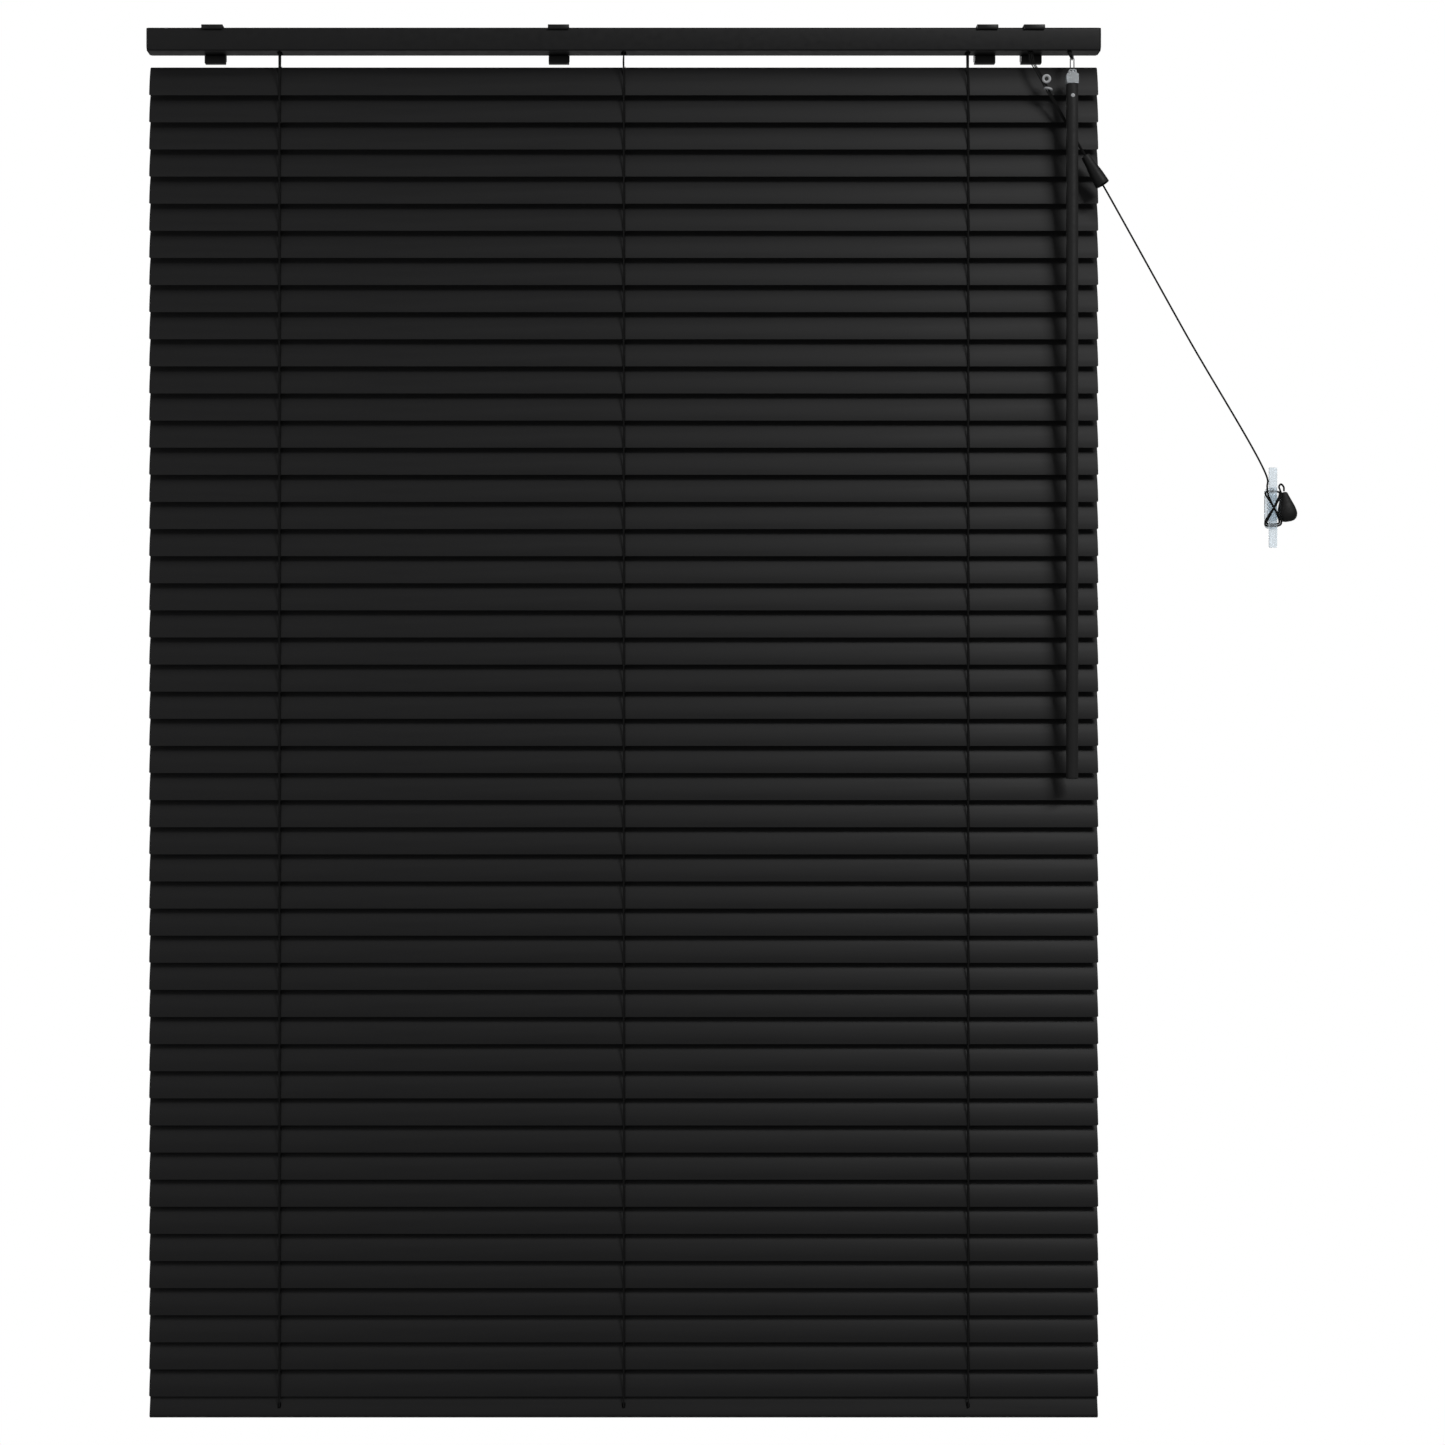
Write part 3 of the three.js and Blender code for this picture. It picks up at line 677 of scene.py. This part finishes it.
def add_bracket(number, x):
    """Spring bracket: plate on the wall, top plate with a front hook, and a release lever below."""
    sheet = 1.2 * MM
    top = RAIL_HIGH.z
    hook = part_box("headrail")[0].y
    foot = RAIL_LOW.z + 3 * MM
    outer = [(0, foot), (0, top), (hook, top), (hook, -2.2 * MM)]
    inner = [(hook + sheet, -1.6 * MM), (hook + sheet, top - sheet), (-sheet, top - sheet), (-sheet, foot)]
    radii = [0, 1.6 * MM, 1.6 * MM, 0.3 * MM, 0.3 * MM, 0.5 * MM, 0.5 * MM, 0]
    outline = rounded(outer + inner, radii, 4)
    clip = piece(f"bracket_{number}", *along_x(outline, x - BRACKET_HALF, x + BRACKET_HALF), BLACK_STEEL,
                 "headrail", "black_paint")
    cut_out(clip, along_y([(x + 2.2 * MM * math.cos(a), -12 * MM + 2.2 * MM * math.sin(a))
                           for a in ring_angles(20)], -3 * MM, 1 * MM))
    cut_out(clip, along_z([(x + 2.2 * MM * math.cos(a), AXIS_Y + 2.2 * MM * math.sin(a))
                           for a in ring_angles(20)], top - 3 * MM, top + 1 * MM))
    soften(clip, 0.25 * MM, 2)
    lever_outline = rounded([
        (-1.4 * MM, -8 * MM), (-5.6 * MM, -8 * MM), (-5.6 * MM, -RAIL_HEIGHT - 0.5 * MM),
        (-11.1 * MM, -RAIL_HEIGHT - 0.5 * MM), (-11.1 * MM, RAIL_LOW.z), (-1.4 * MM, RAIL_LOW.z),
    ], [0.5 * MM, 0.5 * MM, 0.2 * MM, 0.5 * MM, 1 * MM, 0.8 * MM], 4)
    lever = piece(f"bracket_lever_{number}",
                  *along_x(lever_outline, x - BRACKET_HALF + 0.3 * MM, x + BRACKET_HALF - 0.3 * MM),
                  BLACK_PLASTIC, "headrail", "black_plastic")
    soften(lever, 0.4 * MM, 3)
    screw = Vector((x, -sheet, -12 * MM))
    if number != 4:
        add_screw_head(f"bracket_screw_{number}", screw, (0, -1, 0), 3.4 * MM, "headrail")


def ring_angles(count):
    return [2 * math.pi * i / count for i in range(count)]


def room_on_shaft(x, length, radius):
    return tube([(x - length / 2, SHAFT.y, SHAFT.z), (x + length / 2, SHAFT.y, SHAFT.z)], radius, 40)


def add_cradle(number, x):
    """Cradle under a drum, open above, with a throat for the ladder cords."""
    floor = RAIL_SHEET - RAIL_HEIGHT
    corners = box_outline((AXIS_Y - 10.4 * MM, floor), (AXIS_Y + 10.4 * MM, -8.5 * MM))
    outline = rounded(corners, [1 * MM, 1 * MM, 1.5 * MM, 1.5 * MM], 4)
    cradle = piece(f"cradle_{number}", *along_x(outline, x - 10 * MM, x + 10 * MM), BLACK_PLASTIC,
                   "headrail", "black_plastic")
    cut_out(cradle, room_on_shaft(x, 15 * MM, 9.4 * MM))
    cut_out(cradle, room_on_shaft(x, 24 * MM, 3.9 * MM))
    cut_out(cradle, along_z(slot_outline((x, AXIS_Y), 8.2 * MM, 2.4 * MM), floor - 1 * MM, -15 * MM))
    soften(cradle, 0.35 * MM, 2)


def add_drum(number, x):
    """Ladder drum: two flanges and a waist, with a flat-sided bore on the shaft."""
    half = 6.4 * MM
    r = 8.4 * MM
    profile = [(2.9 * MM, -half), (r - 0.4 * MM, -half), (r, -half + 0.4 * MM), (r, -half + 1.4 * MM),
               (r - 1.2 * MM, -half + 1.8 * MM), (r - 1.2 * MM, half - 1.8 * MM), (r, half - 1.4 * MM),
               (r, half - 0.4 * MM), (r - 0.4 * MM, half), (2.9 * MM, half)]
    centre = Vector((x, SHAFT.y, SHAFT.z))
    piece(f"drum_{number}", *spin(profile, centre, (1, 0, 0), 40), WHITE_PLASTIC, "tilt_shaft",
          "clear_plastic")


def add_shaft():
    low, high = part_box("tilt_shaft")
    hexagon = [(SHAFT.y + 3 * MM * math.sin(a), SHAFT.z + 3 * MM * math.cos(a)) for a in ring_angles(6)]
    shaft = piece("tilt_rod", *along_x(rounded(hexagon, 0.4 * MM, 3), low.x, high.x), STEEL, "tilt_shaft",
                  "plain_steel")
    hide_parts("tilt_shaft")
    teeth = []
    for i in range(10):
        for share, radius in ((0.06, 4.3), (0.22, 4.5), (0.34, 5.4), (0.42, 5.6), (0.58, 5.6), (0.66, 5.4),
                              (0.78, 4.5), (0.94, 4.3)):
            a = 2 * math.pi * (i + share) / 10
            teeth.append((SHAFT.y + radius * MM * math.cos(a), SHAFT.z + radius * MM * math.sin(a)))
    piece("worm_wheel", *along_x(teeth, WAND.x - 4 * MM, WAND.x + 4 * MM), WHITE_PLASTIC, "tilt_shaft",
          "clear_plastic")


def add_worm():
    """Worm with its thread, the stem and the eye at its tip."""
    start = WORM - STEM * 7 * MM
    tip = (EYE - WORM).length
    profile = [(0, -7), (1.1, -7), (1.3, -6.7), (1.3, 6.8), (1.9, 7.4), (1.9, tip / MM - 2.6),
               (1.6, tip / MM - 2.1), (0, tip / MM - 2)]
    stem = spin([(r * MM, h * MM) for r, h in profile], WORM, STEM, 24)
    thread = []
    side = STEM.orthogonal().normalized()
    across = STEM.cross(side)
    for step in range(97):
        angle = 2 * math.pi * step / 24
        thread.append(start + STEM * (0.8 + step * 0.13) * MM
                      + (side * math.cos(angle) + across * math.sin(angle)) * 1.45 * MM)
    ring = [EYE + Vector((0, math.cos(a), math.sin(a))) * 2.2 * MM for a in ring_angles(36)]
    eye = closed_tube(ring, 0.7 * MM, 12)
    worm = piece("worm_and_stem", *merge(stem, tube(thread, 0.5 * MM, 8), eye), BLACK_PLASTIC, "tilt_worm",
                 "black_plastic")
    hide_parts("tilt_worm")


def closed_tube(ring, radius, sides):
    verts, faces = tube([*ring, ring[0]], radius, sides)
    return verts, [face for face in faces if len(face) == 4]


def add_tilter_housing():
    x = WAND.x
    corners = box_outline((AXIS_Y - 11.4 * MM, 0.9 * MM - RAIL_HEIGHT), (AXIS_Y + 11.4 * MM, -1.2 * MM))
    outline = rounded(corners, [2.2 * MM, 1.2 * MM, 1.5 * MM, 2.2 * MM], 4)
    housing = piece("tilter_housing", *along_x(outline, x - 9 * MM, x + 9 * MM), BLACK_PLASTIC, "headrail",
                    "black_plastic")
    cut_out(housing, room_on_shaft(x, 10 * MM, 6.3 * MM))
    cut_out(housing, room_on_shaft(x, 22 * MM, 3.9 * MM))
    cut_out(housing, tube([WORM - STEM * 8 * MM, WORM + STEM * 8 * MM], 2.6 * MM, 24))
    cut_out(housing, tube([WORM + STEM * 7 * MM, WORM + STEM * 28 * MM], 2.4 * MM, 24))
    soften(housing, 0.4 * MM, 2)


def add_cord_lock():
    """Cord lock: frame with a sloping throat, a toothed roller and a smooth guide roller."""
    x = LOCK_X
    corners = box_outline((AXIS_Y - 11 * MM, 0.9 * MM - RAIL_HEIGHT), (AXIS_Y + 9 * MM, -3.4 * MM))
    outline = rounded(corners, [2.2 * MM, 1 * MM, 3 * MM, 2 * MM], 4)
    lock = piece("cord_lock", *along_x(outline, x - 11 * MM, x + 11 * MM), BLACK_PLASTIC, "headrail",
                 "black_plastic")
    cut_out(lock, room_on_shaft(x, 26 * MM, 3.9 * MM))
    cut_out(lock, along_z(box_outline((x - 5.5 * MM, AXIS_Y - 10 * MM), (x + 5.5 * MM, AXIS_Y - 4.6 * MM)),
                          -RAIL_HEIGHT - 2 * MM, 0))
    soften(lock, 0.4 * MM, 2)
    ends = [(x + side * 5.3 * MM, AXIS_Y - 6 * MM, -6 * MM) for side in (-1, 1)]
    guide = tube(ends, 1.3 * MM, 20)
    piece("cord_lock_guide", *guide, STEEL, "headrail", "plain_steel")
    teeth = []
    for i in range(16):
        a = 2 * math.pi * i / 16
        teeth.append((AXIS_Y - 5.2 * MM + 1.5 * MM * math.cos(a), -16 * MM + 1.5 * MM * math.sin(a)))
        a += math.pi / 16
        teeth.append((AXIS_Y - 5.2 * MM + 1.25 * MM * math.cos(a), -16 * MM + 1.25 * MM * math.sin(a)))
    piece("cord_lock_roller", *along_x(teeth, x - 5 * MM, x + 5 * MM), STEEL, "headrail", "plain_steel")


def add_lift_cord(number, x):
    """From the bottom rail up through the slats, along the headrail and into the cord lock."""
    lane = (number - 2) * 1.5 * MM
    side = 12.5 * MM
    top = -4.2 * MM - (number - 1) * 1.3 * MM
    front = AXIS_Y - 9.6 * MM
    lock_in = Vector((LOCK_X + (number - 2) * 1.7 * MM, AXIS_Y - 8.6 * MM, -4.3 * MM))
    stops = [
        (x, AXIS_Y, BOTTOM_AXIS.z + 13.5 * MM), (x, AXIS_Y, BOTTOM_AXIS.z / 2), (x, AXIS_Y, -50 * MM),
        (x, AXIS_Y, -RAIL_HEIGHT - 2 * MM), (x + 2 * MM, AXIS_Y, -RAIL_HEIGHT + 3.2 * MM),
        (x + side - 3 * MM, AXIS_Y - 4 * MM, -RAIL_HEIGHT + 3.4 * MM), (x + side, front + 1 * MM, -15 * MM),
        (x + side + 1 * MM, front + 0.3 * MM, top - 4 * MM), (x + side + 6 * MM, front, top),
        (x + side + 14 * MM, front, top), (LOCK_X - 22 * MM, front, top),
        lock_in + Vector((-6 * MM, lane * 0.3, 0)),
        lock_in + Vector((0, -0.2 * MM, -1.6 * MM)), (lock_in.x, AXIS_Y - 8 * MM, -11 * MM),
        (lock_in.x, AXIS_Y - 7.8 * MM, -17 * MM), (lock_in.x, LOCK_EXIT.y, LOCK_EXIT.z),
    ]
    route = smooth_route(stops, 6 * MM)
    piece(f"lift_cord_{number}", *tube(route, LIFT_RADIUS, 8), BLACK_CORD, "headrail", "black_cord")


def add_headrail():
    add_channel()
    add_end_caps()
    for number, x in enumerate(BRACKET_X, 1):
        add_bracket(number, x)
    for number, x in enumerate(LADDER_X, 1):
        add_cradle(number, x)
        add_drum(number, x)
        add_lift_cord(number, x)
    add_shaft()
    add_worm()
    add_tilter_housing()
    add_cord_lock()


add_headrail()


# ---------------------------------------------------------------- slats
def crown(share):
    """Height of the slat's arch at a share of its half width."""
    return SLAT_CROWN * (1 - share * share)


def slat_shape():
    """One slat lying flat: x along its length, y across its width, z up. Its corners are rounded."""
    half_length, half_width = SLAT_LENGTH / 2, SLAT_WIDTH / 2
    corner_steps = 5
    columns = []
    for step in range(corner_steps + 1):
        angle = math.pi / 2 * step / corner_steps
        x = half_length - SLAT_CORNER * (1 - math.sin(angle))
        columns.append((x, half_width - SLAT_CORNER * (1 - math.cos(angle))))
    ladder_columns = [(x + d, half_width) for x in LADDER_X for d in (-6 * MM, 6 * MM)]
    right = [(x, w) for x, w in columns]
    left = [(-x, w) for x, w in columns]
    columns = sorted(set(right + left + ladder_columns), key=lambda c: c[0])
    rows = 14
    verts, faces = [], []
    for side in (1, -1):
        for x, reach in columns:
            for row in range(rows + 1):
                y = reach * (2 * row / rows - 1)
                verts.append((x, y, crown(y / half_width) + side * SLAT_SHEET / 2))
    across = rows + 1
    bottom = len(columns) * across
    for c in range(len(columns) - 1):
        for row in range(rows):
            a = c * across + row
            faces.append((a, a + across, a + across + 1, a + 1))
            faces.append((bottom + a, bottom + a + 1, bottom + a + across + 1, bottom + a + across))
        for row in (0, rows):
            a = c * across + row
            faces.append((a, a + across, bottom + a + across, bottom + a))
    for c in (0, len(columns) - 1):
        for row in range(rows):
            a = c * across + row
            faces.append((a, a + 1, bottom + a + 1, bottom + a))
    return verts, faces


def add_slats():
    template = piece("slat_template", *slat_shape(), SLAT_PAINT, None, "slat_paint", 50)
    for x in LADDER_X:
        cut_out(template, along_z(slot_outline((x, 0), 6.6 * MM, LIFT_SLOT_HALF, 8), -3 * MM, 5 * MM))
    mesh = template.data
    bpy.data.objects.remove(template)
    for slat, centre in zip(SLATS, SLAT_CENTRES):
        obj = bpy.data.objects.new(f"{slat}_strip", mesh)
        obj.matrix_world = Matrix.Translation((0, centre.y, centre.z)) @ Matrix.Rotation(CLOSED, 4, "X")
        bpy.context.collection.objects.link(obj)
        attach(obj, slat)
        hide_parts(slat)


add_slats()


# ---------------------------------------------------------------- ladders
def across_slat(centre, y, z):
    """A point given across a closed slat (y) and square to it (z), in the row's frame."""
    return Vector((0, centre.y + y * math.cos(CLOSED) - z * math.sin(CLOSED),
                   centre.z + y * math.sin(CLOSED) + z * math.cos(CLOSED)))


def rung(x, centre, above):
    """One thread of a rung: under the slat, or over it."""
    half = SLAT_WIDTH / 2
    lift = SLAT_SHEET / 2 + RUNG_RADIUS + 0.05 * MM
    stops = []
    for step in range(9):
        share = 2 * step / 8 - 1
        height = crown(share) + lift if above else -lift - 0.4 * MM * (1 - share * share)
        stops.append(across_slat(centre, share * (half + 0.2 * MM), height))
    front_end = across_slat(centre, -half - 0.9 * MM, 0)
    back_end = across_slat(centre, half + 0.9 * MM, 0)
    offset = Vector((x + (1.3 * MM if above else 0), 0, 0))
    return tube([p + offset for p in (front_end, *stops, back_end)], RUNG_RADIUS, 6)


def add_rungs():
    for slat, centre in zip(SLATS, SLAT_CENTRES):
        threads = [rung(x, centre, above) for x in LADDER_X for above in (False, True)]
        piece(f"{slat}_rungs", *merge(*threads), BLACK_CORD, slat, "black_cord")


def add_ladder_cord(name, x, y, body, top, bottom, node):
    """One upright, between the first slat and the bottom rail."""
    route = [(x, y, top + (bottom - top) * step / 60) for step in range(61)]
    cord = piece(name, *tube(route, LADDER_RADIUS, 8), BLACK_CORD, body, "black_cord")
    if node:
        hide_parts(node)


def add_ladder_head(name, stops):
    """The stretch from the drum down to where the upright hangs at either closed position."""
    piece(name, *tube(smooth_route(stops, 2 * MM), LADDER_RADIUS, 8), BLACK_CORD, "headrail", "black_cord")


def add_ladders():
    rise = SLAT_WIDTH / 2 * math.sin(CLOSED)
    first = SLAT_CENTRES[0]
    bottom = across_slat(BOTTOM_AXIS, -BOTTOM_WIDTH / 2, 0).z
    for number, x in enumerate(LADDER_X, 1):
        middle = x == 0
        add_ladder_cord(f"ladder_{number}_front", x, LADDER_FRONT_Y, "ladder_front", first.z - rise,
                        bottom + 10 * MM, "ladder_front" if middle else None)
        add_ladder_cord(f"ladder_{number}_back", x, LADDER_BACK_Y, "ladder_back", first.z + rise,
                        BOTTOM_AXIS.z + LADDER_BACK_END, "ladder_back" if middle else None)
        add_ladder_head(f"ladder_{number}_front_head", [
            (x, SHAFT.y - 7 * MM, SHAFT.z), (x, SHAFT.y - 6.6 * MM, -RAIL_HEIGHT),
            (x, LADDER_FRONT_Y, first.z - rise),
        ])
        add_ladder_head(f"ladder_{number}_back_head", [
            (x, SHAFT.y + 7 * MM, SHAFT.z), (x, SHAFT.y + 6.6 * MM, -RAIL_HEIGHT),
            (x, LADDER_BACK_Y, first.z + rise), (x, LADDER_BACK_Y, first.z + rise - LADDER_TRAVEL),
        ])


add_rungs()
add_ladders()


# ---------------------------------------------------------------- bottom rail
def place_on_bottom_rail(obj):
    place = Matrix.Translation((0, BOTTOM_AXIS.y, BOTTOM_AXIS.z))
    obj.matrix_world = place @ Matrix.Rotation(CLOSED, 4, "X")
    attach(obj, "bottom_rail")


def add_bottom_rail():
    w, t, s = BOTTOM_WIDTH / 2, BOTTOM_THICK / 2, 0.8 * MM
    outer = [(-2.6 * MM, -t), (-w, -t), (-w, t), (w, t), (w, -t), (2.6 * MM, -t)]
    inner = [(2.6 * MM, -t + s), (w - s, -t + s), (w - s, t - s), (-w + s, t - s), (-w + s, -t + s),
             (-2.6 * MM, -t + s)]
    bend, tight = 2.6 * MM, 1.8 * MM
    radii = [0, bend, bend, bend, bend, 0, 0, tight, tight, tight, tight, 0]
    outline = rounded(outer + inner, radii, 6)
    end = BOTTOM_HALF - 1.2 * MM
    rail = piece("bottom_rail_tube", *along_x(outline, -end, end), SLAT_PAINT, None, "black_paint")
    for x in LADDER_X:
        cut_out(rail, along_z(slot_outline((x, 0), 3 * MM, 1.6 * MM), 0, 6 * MM))
    place_on_bottom_rail(rail)
    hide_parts("bottom_rail")
    for side, name in ((-1, "bottom_cap_left"), (1, "bottom_cap_right")):
        shape = rounded(box_outline((-w, -t), (w, t)), 2.4 * MM, 6)
        low, high = sorted((side * (end - 0.5 * MM), side * BOTTOM_HALF))
        cap = piece(name, *along_x(shape, low, high), BLACK_PLASTIC, None, "black_plastic")
        soften(cap, 0.35 * MM, 2)
        place_on_bottom_rail(cap)
    for number, x in enumerate(LADDER_X, 1):
        profile = [(0, 0.6), (3.4, 0.6), (3.7, 0.2), (3.7, -0.3), (3.1, -0.9), (1.5, -1.1), (0, -1.1)]
        outline = [(r * MM, h * MM) for r, h in profile]
        plug = piece(f"cord_plug_{number}", *spin(outline, (x, 0, -t), (0, 0, 1), 24), BLACK_PLASTIC, None,
                     "black_plastic")
        place_on_bottom_rail(plug)


add_bottom_rail()


# ---------------------------------------------------------------- wand
def add_wand():
    top = CAP_BOTTOM + 3 * MM
    r = WAND_RADIUS
    rod = [(0, WAND_BOTTOM), (r - 1.4 * MM, WAND_BOTTOM), (r - 0.5 * MM, WAND_BOTTOM + 0.2 * MM),
           (r - 0.1 * MM, WAND_BOTTOM + 0.8 * MM), (r, WAND_BOTTOM + 1.8 * MM), (r, CAP_BOTTOM - 1.2 * MM),
           (r - 0.2 * MM, CAP_BOTTOM - 0.3 * MM), (r - 0.8 * MM, CAP_BOTTOM), (r - 1.6 * MM, CAP_BOTTOM),
           (r - 1.6 * MM, top), (0, top)]
    wand = piece("wand_rod", *spin(rod, (WAND.x, WAND.y, 0), (0, 0, 1), 40), WAND_PLASTIC, "wand",
                 "black_plastic")
    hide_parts("wand")
    cap_outline = rounded([
        (-r, CAP_BOTTOM + 0.2 * MM), (r, CAP_BOTTOM + 0.2 * MM), (r, CAP_TOP - 4.2 * MM),
        (3.9 * MM, CAP_TOP - 3.2 * MM), (3.4 * MM, CAP_TOP), (-3.4 * MM, CAP_TOP),
        (-3.9 * MM, CAP_TOP - 3.2 * MM), (-r, CAP_TOP - 4.2 * MM),
    ], [0.4 * MM, 0.4 * MM, 1 * MM, 0.7 * MM, 1.3 * MM, 1.3 * MM, 0.7 * MM, 1 * MM], 4)
    outline = [(u + WAND.x, v) for u, v in cap_outline]
    cap = piece("wand_cap", *along_y(outline, WAND.y - 4.6 * MM, WAND.y + 4.6 * MM), MILKY_PLASTIC, "wand",
                "clear_plastic")
    for side in (-1, 1):
        hole = tube([(WAND.x + side * 1.7 * MM, WAND.y - 8 * MM, CAP_TOP - 1.5 * MM),
                     (WAND.x + side * 1.7 * MM, WAND.y + 8 * MM, CAP_TOP - 1.5 * MM)], 0.75 * MM, 16)
        cut_out(cap, hole)
    cut_out(cap, along_z([(WAND.x + (r - 1.4 * MM) * math.cos(a), WAND.y + (r - 1.4 * MM) * math.sin(a))
                          for a in ring_angles(24)], CAP_BOTTOM - 2 * MM, top + 0.2 * MM))
    soften(cap, 0.5 * MM, 3)
    rivet = Vector((WAND.x, WAND.y - r + 0.35 * MM, CAP_BOTTOM - 11.6 * MM))
    profile = [(0, -0.6), (2, -0.6), (2, 0), (1.7, 0.35), (1.1, 0.5), (0, 0.55)]
    outline = [(a * MM, b * MM) for a, b in profile]
    piece("wand_rivet", *spin(outline, rivet, (0, -1, 0), 24), WHITE_PLASTIC, "wand", "clear_plastic")


def add_link():
    half = 1.7 * MM
    low = CAP_TOP - 2.2 * MM
    z = EYE.z
    stops = [(-half, low), (-half, low + 4 * MM), (-half, z - 4 * MM), (-half * 0.95, z - 1.4 * MM),
             (-half * 0.55, z - 0.2 * MM), (0, z), (half * 0.55, z - 0.2 * MM), (half * 0.95, z - 1.4 * MM),
             (half, z - 4 * MM), (half, low + 4 * MM), (half, low)]
    route = smooth_route([(WAND.x + u, WAND.y, v) for u, v in stops], 0.6 * MM)
    link = piece("wand_link_wire", *tube(route, 0.5 * MM, 10), WIRE_STEEL, "wand_link", "plain_steel")
    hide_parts("wand_link")


add_wand()
add_link()


# ---------------------------------------------------------------- stage and light
WORLD_LIGHT = 0.16
FLOOR_GLOW = 0.6


def add_floor():
    """A pale floor below the blind, out of the main view."""
    left, right, near, far, height = -6, 6, -7, 3.2, -2.3
    verts = [(left, near, height), (right, near, height), (right, far, height), (left, far, height)]
    mesh = bpy.data.meshes.new("floor")
    mesh.from_pydata(verts, [], [(0, 1, 2, 3)])
    material, tree, shader = new_material("floor_paper")
    paper = mix_colours(tree, noise(tree, 3), (0.86, 0.86, 0.86), (0.9, 0.9, 0.9))
    tree.links.new(paper, shader.inputs["Base Color"])
    tree.links.new(paper, shader.inputs["Emission Color"])
    set_inputs(shader, Roughness=0.9, Emission_Strength=FLOOR_GLOW)
    mesh.materials.append(material)
    floor = bpy.data.objects.new("floor", mesh)
    bpy.context.collection.objects.link(floor)
    floor.visible_glossy = False
    floor.visible_diffuse = False


def add_area_light(name, location, target, size, power):
    data = bpy.data.lights.new(name, "AREA")
    data.shape = "RECTANGLE"
    data.size, data.size_y = size
    data.energy = power
    light = bpy.data.objects.new(name, data)
    light.location = location
    light.rotation_euler = (Vector(target) - Vector(location)).to_track_quat("-Z", "Y").to_euler()
    bpy.context.collection.objects.link(light)


def add_studio_world():
    """White where the camera or a clear part looks through to it, and dim as a source of light."""
    world = bpy.data.worlds.new("studio")
    world.use_nodes = True
    nodes, links = world.node_tree.nodes, world.node_tree.links
    background = nodes["Background"]
    background.inputs["Color"].default_value = (1, 1, 1, 1)
    path = nodes.new("ShaderNodeLightPath")
    seen = nodes.new("ShaderNodeMath")
    seen.operation = "MAXIMUM"
    strength = nodes.new("ShaderNodeMapRange")
    strength.inputs["To Min"].default_value = WORLD_LIGHT
    strength.inputs["To Max"].default_value = 1.0
    links.new(path.outputs["Is Camera Ray"], seen.inputs[0])
    links.new(path.outputs["Is Transmission Ray"], seen.inputs[1])
    links.new(seen.outputs[0], strength.inputs["Value"])
    links.new(strength.outputs["Result"], background.inputs["Strength"])
    bpy.context.scene.world = world


def add_lights():
    add_area_light("key", (2.3, -3.2, 2.3), (0.2, 0, -0.5), (1.5, 1.1), 56)
    add_area_light("fill", (-2.6, -3.2, 0.6), (0, 0, -0.7), (2.0, 2.4), 7)
    add_area_light("back", (-1.6, 3.0, 1.2), (0, 0, -0.6), (1.6, 1.6), 45)


add_floor()
add_studio_world()
add_lights()
